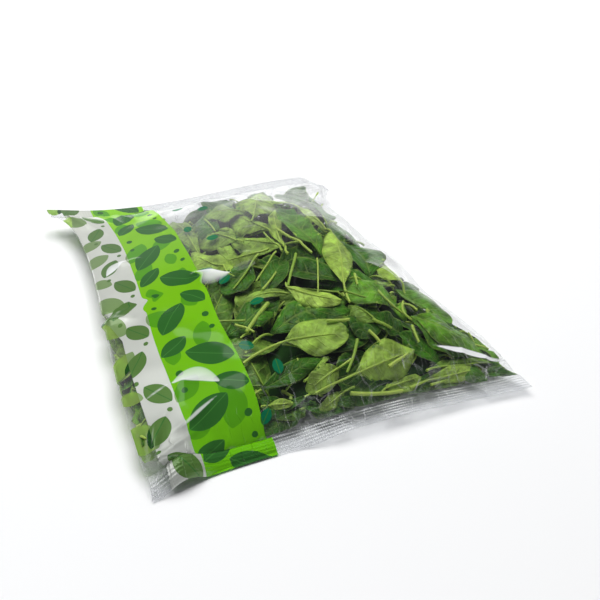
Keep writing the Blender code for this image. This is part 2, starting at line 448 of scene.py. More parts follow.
def crease_lift():
    """How far each point of the film stands off its smooth shape."""
    draw = random.Random(CREASE_SEED)
    lift = np.zeros(film_points.shape[:2])
    for first, second, height, half_width in SEEN_CREASES:
        raise_crease(lift, film_place(*first), film_place(*second), height, half_width)
    for count, seal_row, inward in ((FRONT_CREASES, 0.0, 1.0), (BACK_CREASES, FILM_LENGTH, -1.0)):
        for place in range(count):
            across = (place + draw.uniform(*CREASE_WANDER)) * 2.0 * FILM_WIDTH / count
            length = draw.uniform(*CREASE_LENGTH)
            start = (across, seal_row - inward * SEALED_DOWN)
            slant = draw.uniform(-CREASE_SLANT, CREASE_SLANT)
            end = (across + slant * length, seal_row + inward * length)
            height = draw.uniform(*CREASE_HEIGHT)
            half_width = draw.uniform(*CREASE_HALF_WIDTH)
            raise_crease(lift, start, end, height, half_width, CREASE_FADE_IN)
    for corner_across in (0.0, FILM_WIDTH):
        for seal_row, inward in ((0.0, 1.0), (FILM_LENGTH, -1.0)):
            for _ in range(CORNER_CREASES):
                turn = draw.uniform(*CORNER_CREASE_TURN)
                length = draw.uniform(*CORNER_CREASE_LENGTH)
                side = 1.0 if corner_across == 0.0 else -1.0
                start = (corner_across + side * CORNER_CREASE_START, seal_row)
                end = (
                    start[0] + side * length * math.cos(turn),
                    seal_row + inward * length * math.sin(turn),
                )
                height = draw.uniform(*CORNER_CREASE_HEIGHT)
                raise_crease(lift, start, end, height, CORNER_CREASE_HALF_WIDTH)
    return lift


off_seal = np.minimum(film_rows, FILM_LENGTH - film_rows)[:, None] / SEALED_DOWN
off_seal = smooth_step(off_seal + CREASED_AT_SEAL)
off_floor = smooth_step((film_points[..., 2] - FLAT_ON_FLOOR) / SEALED_DOWN)
creased_points = film_points + film_normals * (crease_lift() * off_seal * off_floor)[..., None]


# Where the film is folded over hard, a flat facet beside the fold is drawn as a painted highlight:
# white blended into the film, with a sharp edge on the fold and a soft one on its other side.
# Columns: pixel at one end of the fold, pixel at the other, pixel at the crown of the soft edge,
# and how bright the painted highlight is at the fold and at the crown.
PAINTED_FOLD_HIGHLIGHTS = (
    ((171, 383), (221, 381), (197, 367), 0.80, 0.35),
    ((196, 273), (231, 272), (206, 285), 0.95, 0.00),
    ((106, 277), (127, 262), (119, 260), 0.90, 0.60),
    ((430, 346), (508, 364), (474, 351), 0.98, 0.92),
    ((178, 431), (218, 395), (197, 410), 0.60, 0.40),
    ((143, 402), (171, 382), (156, 390), 0.55, 0.30),
    ((484, 365), (485, 382), (482, 374), 0.80, 0.15),
    ((421, 376), (413, 392), (418, 384), 0.50, 0.15),
    ((402, 352), (405, 371), (403, 361), 0.50, 0.15),
)
LEAST_HIGHLIGHT = 0.0016
SHARP_EDGE = 0.0004            # how far a facet reaches over its fold
SOFT_EDGE = 0.7                # and how slowly it ends on its other side


def painted_highlight_fields():
    """For each point of the film's grid: how far inside a painted highlight it is, and how bright it is
    there.
    """
    edge = np.full(film_points.shape[:2], -1.0)
    white = np.zeros(film_points.shape[:2])
    for first, last, crown, on_fold, on_crown in PAINTED_FOLD_HIGHLIGHTS:
        first, last, crown = (np.array(film_place(*place)) for place in (first, last, crown))
        share, aside, length = beside_line(first, last)
        run = (last - first) / length
        depth = float(run[0] * (crown - first)[1] - run[1] * (crown - first)[0])
        aside = aside * math.copysign(1.0, depth)
        crown_at = max(abs(depth), LEAST_HIGHLIGHT) * (1.0 - (2.0 * share - 1.0) ** 2)
        to_ends = length * np.minimum(share, 1.0 - share)
        inside = np.minimum(np.minimum(aside + SHARP_EDGE, SOFT_EDGE * (crown_at - aside)), to_ends)
        level = mix(on_fold, on_crown, np.clip(aside / np.maximum(crown_at, 1e-4), 0.0, 1.0))
        white = np.where(inside > edge, level, white)
        edge = np.maximum(edge, inside)
    return edge, white


highlight_edge, painted_highlight = painted_highlight_fields()


# Generic print in dark green ink: pointed leaves and round dots. They follow each other up the
# lime and the silver bands by a rule, and small ones are strewn on the clear film beside them.
LIME_LEAF = (0.034, 0.0185)      # length and width
SMALL_LIME_LEAF = (0.024, 0.0130)
SILVER_LEAF = (0.0235, 0.0140)
STREWN_LEAF = (0.0110, 0.0070)
PALE_LEAF = (0.030, 0.0180)
PLEAT_LEAF = (0.0105, 0.1440, 0.027, 0.0130, 1.15)
LIME_PITCH = 0.0430
SILVER_PITCH = 0.0300
PALE_PITCH = 0.0340
STREWN_LEAVES = 11
DOT_RADIUS = 0.0026
SMALL_DOT_RADIUS = 0.8 * DOT_RADIUS
SILVER_DOT_RADIUS = 0.7 * DOT_RADIUS
FIRST_LIME_LEAF, FIRST_SILVER_LEAF = 0.35, 0.2    # how far before the seal, in shares of a pitch
LIME_LEAF_TURN = (0.55, 1.05)
SILVER_LEAF_TURN = 0.6
LEAF_ASIDE = 0.0075            # from the middle of the lime band, to either side in turn
SMALL_LEAF_ASIDE, SMALL_LEAF_ON = 0.0125, 0.0160
DOT_ASIDE, DOT_BACK = 0.0160, 0.0085
SMALL_DOT_ASIDE, SMALL_DOT_ON = 0.0170, 0.0200
SILVER_ASIDE, SILVER_DOT_ASIDE, SILVER_DOT_ON = 0.0035, 0.0070, 0.0145
SILVER_MIDDLE = 0.5 * LIME_START + 0.003
PALE_ROWS = (-0.012, 0.006, 0.040, 0.064)
STREWN_START = LIME_END + 0.003
STREWN_REACH = 0.034
GOLDEN_SHARE = 0.618           # spreads them evenly, and the next crowds them towards the band
STREWN_CROWDING = 1.4
LEAF_WANDER = (0.2, 0.8)       # where each is in its own part of the film's length
PALE_SIZES = (0.55, 1.0)
PALE_TURN = 1.3
INK_SEED = 23


def printed_shapes():
    """Every dark printed leaf and dot: place across and along the film, length, width and turn."""
    draw = random.Random(INK_SEED)
    middle = 0.5 * (LIME_START + LIME_END)
    shapes = []
    for place in range(int(FILM_LENGTH / LIME_PITCH) + 2):
        along = (place - FIRST_LIME_LEAF) * LIME_PITCH
        side = 1.0 if place % 2 else -1.0
        turn = side * draw.uniform(*LIME_LEAF_TURN)
        small_across = middle + side * SMALL_LEAF_ASIDE
        small_dot_across = middle - side * SMALL_DOT_ASIDE
        shapes.append((middle - side * LEAF_ASIDE, along, *LIME_LEAF, turn))
        shapes.append((small_across, along + SMALL_LEAF_ON, *SMALL_LIME_LEAF, -turn))
        shapes.append((middle + side * DOT_ASIDE, along - DOT_BACK, 0.0, DOT_RADIUS, 0.0))
        shapes.append((small_dot_across, along + SMALL_DOT_ON, 0.0, SMALL_DOT_RADIUS, 0.0))
    for place in range(int(FILM_LENGTH / SILVER_PITCH) + 2):
        along = (place - FIRST_SILVER_LEAF) * SILVER_PITCH
        side = 1.0 if place % 2 else -1.0
        leaf_across = SILVER_MIDDLE - side * SILVER_ASIDE
        dot_across = SILVER_MIDDLE + side * SILVER_DOT_ASIDE
        shapes.append((leaf_across, along, *SILVER_LEAF, side * SILVER_LEAF_TURN))
        shapes.append((dot_across, along + SILVER_DOT_ON, 0.0, SILVER_DOT_RADIUS, 0.0))
    shapes.append(PLEAT_LEAF)
    for place in range(STREWN_LEAVES):
        across = STREWN_START + STREWN_REACH * (GOLDEN_SHARE * place % 1.0) ** STREWN_CROWDING
        along = (place + draw.uniform(*LEAF_WANDER)) * FILM_LENGTH / STREWN_LEAVES
        shapes.append((across, along, *STREWN_LEAF, draw.uniform(0.0, math.pi)))
    return shapes


def pale_shapes():
    """The larger paler leaves that lie under the dark ones, out to the clear side of the bag."""
    draw = random.Random(INK_SEED + 1)
    shapes = []
    for across in PALE_ROWS:
        for place in range(int(FILM_LENGTH / PALE_PITCH) + 1):
            along = (place + draw.uniform(*LEAF_WANDER)) * PALE_PITCH
            size = draw.uniform(*PALE_SIZES)
            turn = draw.uniform(-PALE_TURN, PALE_TURN)
            shapes.append((across, along, size * PALE_LEAF[0], size * PALE_LEAF[1], turn))
    return shapes


def ink_fields(across, along, shapes):
    """How far inside the nearest printed shape each place is, and how far aside of its rib."""
    across = np.where(across > 1.5 * FILM_WIDTH, across - 2.0 * FILM_WIDTH, across)
    edge = np.full(np.broadcast(across, along).shape, -1.0)
    rib = np.ones(edge.shape)
    for shape_across, shape_along, length, width, turn in shapes:
        right, up = across - shape_across, along - shape_along
        lengthways = up * math.cos(turn) + right * math.sin(turn)
        sideways = right * math.cos(turn) - up * math.sin(turn)
        if length > 0.0:
            bend = (0.25 * length ** 2 + 0.25 * width ** 2) / width
            offset = bend - 0.5 * width
            inside = bend - np.hypot(lengthways, np.abs(sideways) + offset)
        else:
            inside = width - np.hypot(lengthways, sideways)
        nearer = inside > edge
        edge = np.where(nearer, inside, edge)
        rib = np.where(nearer, sideways if length > 0.0 else 1.0, rib)
    return edge, rib


# The film is clear polypropylene, printed on its inside. Where it is bare it lets nearly all
# light through, mirrors a little and is faintly milky; the lime ink is a clear colour over a thin
# white one, and the silver ink is dense.
FILM_MIRROR = 0.045
MOST_MIRROR = 0.22
FILM_ROUGHNESS = 0.09
FILM_MILK = 0.001
FILM_EDGE_MILK = 0.05
SLANT_POWER = 4.0              # how steeply the mirror and the milk grow where it is seen aslant
MILK_COLOUR = (0.90, 0.91, 0.92, 1.0)
FILM_CLEARNESS = (0.962, 0.967, 0.968, 1.0)
SEAL_CLEARNESS = (0.925, 0.932, 0.938, 1.0)
CRUMPLE_SIZE = 0.022
CRUMPLE_REACH = 0.050
CRUMPLE_DEPTH = 0.0014
CRUMPLED_IN_MIDDLE = 0.12      # how much of the crumpling is left far from the seals
CRUMPLE_STRETCH = (1.0, 0.62, 1.0)
CRUMPLE_HEIGHT = 0.9
CRUMPLE_WHITENING_AND_HIGHLIGHT = 0.16
DRIFT_SCALE, DRIFT_SHARE = 70.0, 0.012    # noise that bends the crumples' edges
SWELL_SCALE = 48.0                        # and noise that lifts the film softly
FOLD_LINE = 0.022
TENSION_WHITENING_AND_HIGHLIGHT = 0.30
TENSION_PITCH = 0.0075
TENSION_REACH = 0.030
TENSION_WIDTH = 0.12
TENSION_HEIGHT = 0.30
WANDER_SCALE, WANDER_TURNS = 55.0, 1.5    # noise that bends the lines and leaves some out
WANDER_PATCH = (0.46, 0.60)
DASH_PITCH = 0.0015
DASH_ROW_PITCH = 0.0023
DASH_LENGTH = 1.1              # shares of the pitches, soft ends with them
DASH_WIDTH = 0.85
WELD_SCALE = 34.0              # noise that leaves the dashes fainter in patches
WELD_PATCH = (0.40, 0.62, 0.10, 0.75)
WELD_GLINT_SIDE = (0.12, 0.21, 1.5, 0.3)   # dashes are whiter, as painted glints, this near the right side, fainter this far
# Both bands' inks are painted lighter towards the back and darker at the front: painted light and shade.
LIME_INK_SHADED_FRONT = (0.195, 0.640, 0.008, 1.0)
LIME_INK_LIT_BACK = (0.330, 0.730, 0.008, 1.0)
PALE_LIME_INK = (0.115, 0.440, 0.010, 1.0)
DARK_INK = (0.032, 0.155, 0.024, 1.0)
RIB_INK = (0.060, 0.24, 0.040, 1.0)
SILVER_INK_SHADED_FRONT = (0.575, 0.600, 0.550, 1.0)
SILVER_INK_LIT_BACK = (0.830, 0.850, 0.770, 1.0)
PALE_SILVER_INK = (0.23, 0.36, 0.13, 1.0)
LEAF_ON_SILVER = (0.135, 0.290, 0.058, 1.0)
EMERALD_INK = (0.004, 0.20, 0.085, 1.0)
SIDE_INK = (0.44, 0.66, 0.16, 1.0)
LIME_DENSITY = 0.68
DARK_DENSITY = 0.78
EMERALD_DENSITY = 0.70
SIDE_DENSITY = 0.38
LEAST_DENSITY = 0.01
SILVER_METAL = 0.30
SILVER_SHINE = 0.5
INK_ROUGHNESS = 0.34
RIB_WIDTH = 0.00032
PLEAT_ALONG = (0.112, 0.147)
SILVER_EDGE = (0.0110, 0.0005)       # where the silver band begins, before and behind the pleat
EAR_ALONG = (0.288, FILM_LENGTH)
SILVER_AT_EAR = 0.010                # and how much farther in it begins at the back corner
BACK_PAINTED_SHEEN = (0.135, 0.235, 0.0, 0.17)     # painted sheen of the bright surroundings: from, to, and how much at each
# The film is whiter near the front seal and the right fold, in the same columns.
FRONT_FOG = (0.0, 0.026, 0.03, 0.0)
RIGHT_FOG = (0.0, 0.05, 0.05, 0.0)
# At the left fold the veil is milky film and also painted light on the shaded left side.
LEFT_FOG_AND_PAINTED_LIGHT = (FILM_WIDTH - 0.018, FILM_WIDTH, 0.0, 0.10)
PAINTED_SHEEN_ON_PRINT = 0.3
HIGHLIGHT_BLUR = 0.0007


def add_node(tree, kind, inputs=None, **settings):
    """A new node with its settings, and each named input set or linked."""
    node = tree.nodes.new(kind)
    for setting, value in settings.items():
        setattr(node, setting, value)
    for socket, value in (inputs or {}).items():
        if isinstance(value, bpy.types.NodeSocket):
            tree.links.new(value, node.inputs[socket])
        else:
            node.inputs[socket].default_value = value
    return node


def number(tree, operation, *values):
    """The result of one Math node."""
    return add_node(tree, "ShaderNodeMath", dict(enumerate(values)), operation=operation).outputs[0]


def times(tree, first, second):
    """The product of two numbers."""
    return number(tree, "MULTIPLY", first, second)


def plus(tree, first, second):
    """The sum of two numbers."""
    return number(tree, "ADD", first, second)


def minus(tree, first, second):
    """The first number less the second."""
    return number(tree, "SUBTRACT", first, second)


def times_plus(tree, first, second, third):
    """The product of the first two numbers, and the third added to it."""
    return number(tree, "MULTIPLY_ADD", first, second, third)


def ranged(tree, value, start, end, at_start=0.0, at_end=1.0, **settings):
    """A value mapped from start and end to two others, and held past them."""
    inputs = {0: value, 1: start, 2: end, 3: at_start, 4: at_end}
    return add_node(tree, "ShaderNodeMapRange", inputs, **settings).outputs[0]


def cloudy(tree, place, scale, detail=2.0, output=0):
    """Even noise, as a number or, from output 1, as a colour."""
    inputs = {"Vector": place, "Scale": scale, "Detail": detail}
    return add_node(tree, "ShaderNodeTexNoise", inputs).outputs[output]


def carried(tree, name):
    """A number that the mesh carries for each of its points."""
    return add_node(tree, "ShaderNodeAttribute", attribute_name=name).outputs["Fac"]


def blend_colour(tree, share, first, second):
    """The colour between two others."""
    return add_node(tree, "ShaderNodeMix", {0: share, 6: first, 7: second}, data_type="RGBA").outputs[2]


def blend_shader(tree, share, first, second):
    """The shader between two others."""
    return add_node(tree, "ShaderNodeMixShader", {0: share, 1: first, 2: second}).outputs[0]


def bumped(tree, strength, distance, height):
    """The surface's normal over a relief of this height."""
    relief = {"Strength": strength, "Distance": distance, "Height": height}
    return add_node(tree, "ShaderNodeBump", relief).outputs[0]


def plain_material(name):
    """A new material: itself, its tree, its shader and the place of what it covers."""
    material = bpy.data.materials.new(name)
    material.use_nodes = True
    tree = material.node_tree
    place = add_node(tree, "ShaderNodeTexCoord").outputs["Object"]
    return material, tree, tree.nodes["Principled BSDF"], place


def from_middle(tree, value):
    """How far a value that repeats from 0 to 1 is from its middle."""
    return number(tree, "ABSOLUTE", minus(tree, number(tree, "FRACT", value), 0.5))


def narrow_line(tree, value, width):
    """1 where a value that repeats from 0 to 1 is at its middle, and 0 past half this width."""
    return ranged(tree, from_middle(tree, value), 0.0, 0.5 * width, 1.0, 0.0)


def film_creases(tree, place, across, along):
    """The film's normal over its creases, and how white they are, partly stress whitening and partly
    painted highlights on the fold and tension lines: it crumples towards the seals.
    """
    to_front = number(tree, "ABSOLUTE", along)
    to_back = number(tree, "ABSOLUTE", minus(tree, along, FILM_LENGTH))
    to_seal = number(tree, "MINIMUM", to_front, to_back)
    near_seal = ranged(tree, to_seal, 0.0, CRUMPLE_REACH, 1.0, CRUMPLED_IN_MIDDLE)
    drift = cloudy(tree, place, DRIFT_SCALE, 1.0, output=1)
    drifted = {0: DRIFT_SHARE, 4: place, 5: drift}
    drifted = add_node(tree, "ShaderNodeMix", drifted, data_type="VECTOR").outputs[1]
    stretched = add_node(tree, "ShaderNodeMapping", {0: drifted, 3: CRUMPLE_STRETCH})
    inputs = {"Vector": stretched.outputs[0], "Scale": 1.0 / CRUMPLE_SIZE}
    facets = add_node(tree, "ShaderNodeTexVoronoi", inputs).outputs["Distance"]
    folds = add_node(tree, "ShaderNodeTexVoronoi", inputs, feature="DISTANCE_TO_EDGE")
    fold_line = ranged(tree, folds.outputs["Distance"], 0.0, FOLD_LINE, 1.0, 0.0)

    wander = cloudy(tree, place, WANDER_SCALE)
    turns = number(tree, "DIVIDE", across, TENSION_PITCH)
    turns = times_plus(tree, wander, WANDER_TURNS, turns)
    pulled = narrow_line(tree, turns, TENSION_WIDTH)
    near = ranged(tree, to_seal, 0.0, TENSION_REACH, 1.0, 0.0)
    patchy = ranged(tree, wander, *WANDER_PATCH)
    pulled = times(tree, pulled, times(tree, near, patchy))

    height = times(tree, facets, times(tree, near_seal, CRUMPLE_HEIGHT))
    height = plus(tree, height, cloudy(tree, place, SWELL_SCALE, 0.0))
    height = times_plus(tree, pulled, TENSION_HEIGHT, height)
    normal = bumped(tree, 1.0, CRUMPLE_DEPTH, height)
    # Fold lines and tension lines are whitened: partly stress whitening, partly painted highlights.
    white = times(tree, near_seal, CRUMPLE_WHITENING_AND_HIGHLIGHT)
    white = times(tree, fold_line, white)
    return normal, times_plus(tree, pulled, TENSION_WHITENING_AND_HIGHLIGHT, white)


def from_right_side(tree, across):
    """How far a place is from the tube's right fold, across the flat film."""
    return number(tree, "ABSOLUTE", minus(tree, across, FILM_WIDTH))


def weld_whitening_and_glints(tree, place, across, along):
    """How white the seal is: rows of short dashes where the ribbed jaws pressed hardest, partly weld
    whitening and partly painted glints.
    """
    dashes = narrow_line(tree, number(tree, "DIVIDE", across, DASH_PITCH), DASH_LENGTH)
    rows = narrow_line(tree, number(tree, "DIVIDE", along, DASH_ROW_PITCH), DASH_WIDTH)
    hard = ranged(tree, cloudy(tree, place, WELD_SCALE, 1.0), *WELD_PATCH)
    hard = times(tree, hard, ranged(tree, from_right_side(tree, across), *WELD_GLINT_SIDE))
    return times(tree, times(tree, dashes, rows), hard)


def film_sheen_and_fog(tree, across, along):
    """The painted sheen towards the back; and the veil over all: that sheen, whiter film at the front seal
    and both folds, and painted light at the left side.
    """
    from_side = from_right_side(tree, across)
    back = ranged(tree, along, *BACK_PAINTED_SHEEN, interpolation_type="SMOOTHSTEP")
    front = ranged(tree, along, *FRONT_FOG)
    sides = number(tree, "MAXIMUM", ranged(tree, from_side, *LEFT_FOG_AND_PAINTED_LIGHT), ranged(tree, from_side, *RIGHT_FOG))
    return back, number(tree, "MAXIMUM", back, number(tree, "MAXIMUM", front, sides))


def film_inks(tree, across, along):
    """The colour of the ink, how dense it is, and 1 on the silver band."""
    edge = carried(tree, "ink_edge")
    round_under = number(tree, "GREATER_THAN", across, 1.5 * FILM_WIDTH)
    across = times_plus(tree, round_under, -2.0 * FILM_WIDTH, across)
    silver_edge = ranged(tree, along, *PLEAT_ALONG, *SILVER_EDGE)
    at_ear = ranged(tree, along, *EAR_ALONG, 0.0, SILVER_AT_EAR)
    silver_edge = plus(tree, silver_edge, at_ear)
    past_silver = number(tree, "GREATER_THAN", across, LIME_START)
    past_lime = number(tree, "GREATER_THAN", across, LIME_END)
    in_lime = minus(tree, past_silver, past_lime)
    in_silver = number(tree, "GREATER_THAN", across, silver_edge)
    in_silver = number(tree, "MAXIMUM", minus(tree, in_silver, past_silver), 0.0)
    on_side = plus(tree, in_silver, plus(tree, in_lime, past_lime))
    on_side = minus(tree, 1.0, on_side)
    on_pale = number(tree, "GREATER_THAN", carried(tree, "pale_edge"), 0.0)
    on_pale = times(tree, on_pale, minus(tree, 1.0, past_lime))
    on_dark = number(tree, "GREATER_THAN", edge, 0.0)
    from_rib = number(tree, "ABSOLUTE", carried(tree, "ink_rib"))
    on_rib = times(tree, number(tree, "LESS_THAN", from_rib, RIB_WIDTH), on_dark)

    # The lime and silver inks grow lighter towards the back: painted light.
    painted_light_share = number(tree, "DIVIDE", along, FILM_LENGTH)
    lime_ink = blend_colour(tree, painted_light_share, LIME_INK_SHADED_FRONT, LIME_INK_LIT_BACK)
    silver_ink = blend_colour(tree, painted_light_share, SILVER_INK_SHADED_FRONT, SILVER_INK_LIT_BACK)
    silver_ink = blend_colour(tree, on_pale, silver_ink, PALE_SILVER_INK)
    ink = blend_colour(tree, on_pale, lime_ink, PALE_LIME_INK)
    ink = blend_colour(tree, in_silver, ink, silver_ink)
    ink = blend_colour(tree, on_side, ink, SIDE_INK)
    dark_ink = blend_colour(tree, past_lime, DARK_INK, EMERALD_INK)
    dark_ink = blend_colour(tree, in_silver, dark_ink, LEAF_ON_SILVER)
    ink = blend_colour(tree, on_dark, ink, dark_ink)
    ink = blend_colour(tree, on_rib, ink, RIB_INK)

    density = times_plus(tree, in_lime, LIME_DENSITY, in_silver)
    side_leaf = times(tree, on_side, on_pale)
    density = times_plus(tree, side_leaf, SIDE_DENSITY, density)
    emerald_step = EMERALD_DENSITY - DARK_DENSITY
    dark_density = times_plus(tree, past_lime, emerald_step, DARK_DENSITY)
    density_step = minus(tree, dark_density, density)
    dark_inside = times(tree, on_dark, minus(tree, 1.0, on_side))
    return ink, times_plus(tree, dark_inside, density_step, density), in_silver


def film_material(name, welded=False):
    """Film with its print: where there is ink is read from the film's map and its ink fields."""
    material = bpy.data.materials.new(name)
    material.use_nodes = True
    tree = material.node_tree
    tree.nodes.clear()
    place = add_node(tree, "ShaderNodeUVMap", uv_map="film").outputs[0]
    across, along = add_node(tree, "ShaderNodeSeparateXYZ", {0: place}).outputs[:2]

    normal, whitening_and_highlights = film_creases(tree, place, across, along)
    if welded:
        whitening_and_highlights = plus(tree, whitening_and_highlights, weld_whitening_and_glints(tree, place, across, along))
    slant = add_node(tree, "ShaderNodeLayerWeight", {"Blend": 0.5, "Normal": normal}).outputs[1]
    steep = number(tree, "POWER", slant, SLANT_POWER)
    mirror_share = times_plus(tree, steep, 1.0 - FILM_MIRROR, FILM_MIRROR)
    mirror_share = number(tree, "MINIMUM", mirror_share, MOST_MIRROR)
    clearness = SEAL_CLEARNESS if welded else FILM_CLEARNESS
    clear = add_node(tree, "ShaderNodeBsdfTransparent", {0: clearness}).outputs[0]
    shine = {"Color": (1.0, 1.0, 1.0, 1.0), "Roughness": FILM_ROUGHNESS, "Normal": normal}
    mirror = add_node(tree, "ShaderNodeBsdfGlossy", shine).outputs[0]
    milk = add_node(tree, "ShaderNodeBsdfDiffuse", {"Color": MILK_COLOUR}).outputs[0]
    milk_share = times_plus(tree, steep, FILM_EDGE_MILK, FILM_MILK)
    # The whitened creases and welds, partly painted highlights, and the painted sheen are blended in as
    # milk.
    back_sheen, sheen_and_fog = film_sheen_and_fog(tree, across, along)
    milk_share = plus(tree, milk_share, plus(tree, whitening_and_highlights, sheen_and_fog))
    bare = blend_shader(tree, milk_share, clear, milk)

    ink, density, in_silver = film_inks(tree, across, along)
    tint = add_node(tree, "ShaderNodeBsdfTransparent", {0: ink}).outputs[0]
    body = add_node(
        tree,
        "ShaderNodeBsdfPrincipled",
        {
            "Base Color": ink,
            "Metallic": times(tree, in_silver, SILVER_METAL),
            "Specular IOR Level": times(tree, in_silver, SILVER_SHINE),
            "Roughness": INK_ROUGHNESS,
            "Normal": normal,
        },
    ).outputs[0]
    inked = blend_shader(tree, density, tint, body)
    printed = number(tree, "GREATER_THAN", density, LEAST_DENSITY)
    surface = blend_shader(tree, printed, bare, inked)
    # Painted highlights beside the hard folds are blended in as white.
    highlight = ranged(tree, carried(tree, "highlight_edge"), 0.0, HIGHLIGHT_BLUR)
    highlight = times(tree, highlight, carried(tree, "painted_highlight"))
    # The painted sheen of the bright surroundings also covers the print towards the back.
    sheen_on_print = times(tree, times(tree, printed, PAINTED_SHEEN_ON_PRINT), back_sheen)
    surface = blend_shader(tree, number(tree, "MAXIMUM", highlight, sheen_on_print), surface, milk)
    surface = blend_shader(tree, mirror_share, surface, mirror)
    add_node(tree, "ShaderNodeOutputMaterial", {0: surface})
    return material


def new_piece(name, points, faces, material):
    """A smooth mesh object at the origin with one material."""
    mesh = bpy.data.meshes.new(name)
    mesh.from_pydata(points, [], faces)
    mesh.shade_smooth()
    mesh.materials.append(material)
    return new_object(name, mesh)


def keep_with_bag(piece):
    """The piece moves with the bag and stands for its solid."""
    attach(piece, "root")
    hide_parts("spinach_bag")


def put_values(mesh, name, values):
    """A number for each point of the mesh, by name."""
    field = mesh.attributes.new(name, "FLOAT", "POINT")
    field.data.foreach_set("value", np.ascontiguousarray(values, np.float32).ravel())


def put_film_map(mesh, across, along):
    """The film map: metres across and along the flat film, for each corner of each face."""
    corners = np.empty(len(mesh.loops), np.int32)
    mesh.loops.foreach_get("vertex_index", corners)
    places = np.stack((np.ravel(across)[corners], np.ravel(along)[corners]), -1)
    film_map = mesh.uv_layers.new(name="film")
    film_map.data.foreach_set("uv", np.ascontiguousarray(places, np.float32).ravel())


def put_ink(mesh, across, along):
    """The film map and the fields of the print."""
    put_film_map(mesh, across, along)
    edge, rib = ink_fields(across, along, printed_shapes())
    put_values(mesh, "ink_edge", edge)
    put_values(mesh, "ink_rib", rib)
    put_values(mesh, "pale_edge", ink_fields(across, along, pale_shapes())[0])


def grid_faces(rows, columns):
    """Four-sided faces over a grid of points."""
    corner = (np.arange(rows - 1)[:, None] * columns + np.arange(columns - 1)).ravel()
    return np.stack((corner, corner + 1, corner + columns + 1, corner + columns), -1)


def film_piece(name, first, last):
    """The stretch of film between two columns of the grid, all the way from seal to seal."""
    columns = np.arange(first, last + 1)
    points = creased_points[:, columns % len(film_columns)]
    across = np.append(film_columns, 2.0 * FILM_WIDTH + film_columns)[columns]
    across, along = np.broadcast_arrays(across[None, :], film_rows[:, None])
    faces = grid_faces(len(film_rows), len(columns))
    piece = new_piece(name, points.reshape(-1, 3), faces.tolist(), film_material(name))
    put_ink(piece.data, across, along)
    put_values(piece.data, "highlight_edge", highlight_edge[:, columns % len(film_columns)])
    put_values(piece.data, "painted_highlight", painted_highlight[:, columns % len(film_columns)])
    keep_with_bag(piece)


lime_column = int(np.searchsorted(film_columns, LIME_END - 1e-6))
film_piece("printed_film", 0, lime_column)
film_piece("clear_film", lime_column, len(film_columns))


# The tube was folded from one flat sheet of film. Its two edges lap under the middle of the bag
# and are welded there along a narrow strip.
LAP_WIDTH = 0.012
LAP_DROP = 0.00025

lap_column = int(np.searchsorted(film_columns, 1.5 * FILM_WIDTH - 0.5 * LAP_WIDTH))
lap_columns = np.arange(lap_column, lap_column + round(LAP_WIDTH / BOTTOM_STEP) + 1)
lap_points = film_points[:, lap_columns] + LAP_DROP * film_normals[:, lap_columns]
lap_faces = grid_faces(len(film_rows), len(lap_columns)).tolist()
lap_finish = film_material("lap_weld", welded=True)
lap_seam = new_piece("lap_seam", lap_points.reshape(-1, 3), lap_faces, lap_finish)
lap_place = np.broadcast_arrays(film_columns[None, lap_columns], film_rows[:, None])
put_ink(lap_seam.data, *lap_place)
keep_with_bag(lap_seam)


# Each end of the tube is closed by a seal: hot ribbed jaws pressed the two sheets together into
# one flat strip, with rows of short ribs that stand alternately up and down. The ribs are made by
# a node tree on a fine strip of film that carries the same print.
RIB_PITCH = 0.0020
RIB_ROW_PITCH = 0.0023
RIB_HEIGHT = 0.00028
HANG_ANGLE = math.radians(62.0)      # the front seal hangs down from the printed side
HANG_REACH = (0.080, 0.125)
LEAST_HANG = 0.001
SEAL_COLUMN_STEP = 0.0005
SEAL_ROW_STEP = 0.00046


def group_of_nodes(name, inputs):
    """An empty Geometry Nodes tree with a mesh input and these others, and its end nodes."""
    tree = bpy.data.node_groups.new(name, "GeometryNodeTree")
    tree.interface.new_socket("Geometry", in_out="INPUT", socket_type="NodeSocketGeometry")
    for label, kind in inputs.items():
        tree.interface.new_socket(label, in_out="INPUT", socket_type=kind)
    tree.interface.new_socket("Geometry", in_out="OUTPUT", socket_type="NodeSocketGeometry")
    return tree, add_node(tree, "NodeGroupInput").outputs


def end_group(tree, geometry, material):
    """Realises what the tree made and gives it its material."""
    real = add_node(tree, "GeometryNodeRealizeInstances", {0: geometry}).outputs[0]
    finished = add_node(tree, "GeometryNodeSetMaterial", {0: real, 2: material}).outputs[0]
    add_node(tree, "NodeGroupOutput", {0: finished})


def field_named(tree, name):
    """A number that the mesh carries for each of its points."""
    return add_node(tree, "GeometryNodeInputNamedAttribute", {0: name}).outputs[0]


def shaped_by(piece, tree, values):
    """Turns the piece into the plain mesh that the tree makes of it."""
    modifier = piece.modifiers.new("shape", "NODES")
    modifier.node_group = tree
    for item in tree.interface.items_tree:
        if item.in_out == "INPUT" and item.name in values:
            modifier[item.identifier] = values[item.name]
    graph = bpy.context.evaluated_depsgraph_get()
    mesh = bpy.data.meshes.new_from_object(piece.evaluated_get(graph), depsgraph=graph)
    piece.modifiers.remove(modifier)
    piece.data = mesh


def wave_along(tree, name, pitch):
    """A wave over a field of the mesh, with this pitch."""
    turns = times(tree, field_named(tree, name), 2.0 * math.pi)
    return number(tree, "SINE", number(tree, "DIVIDE", turns, pitch))


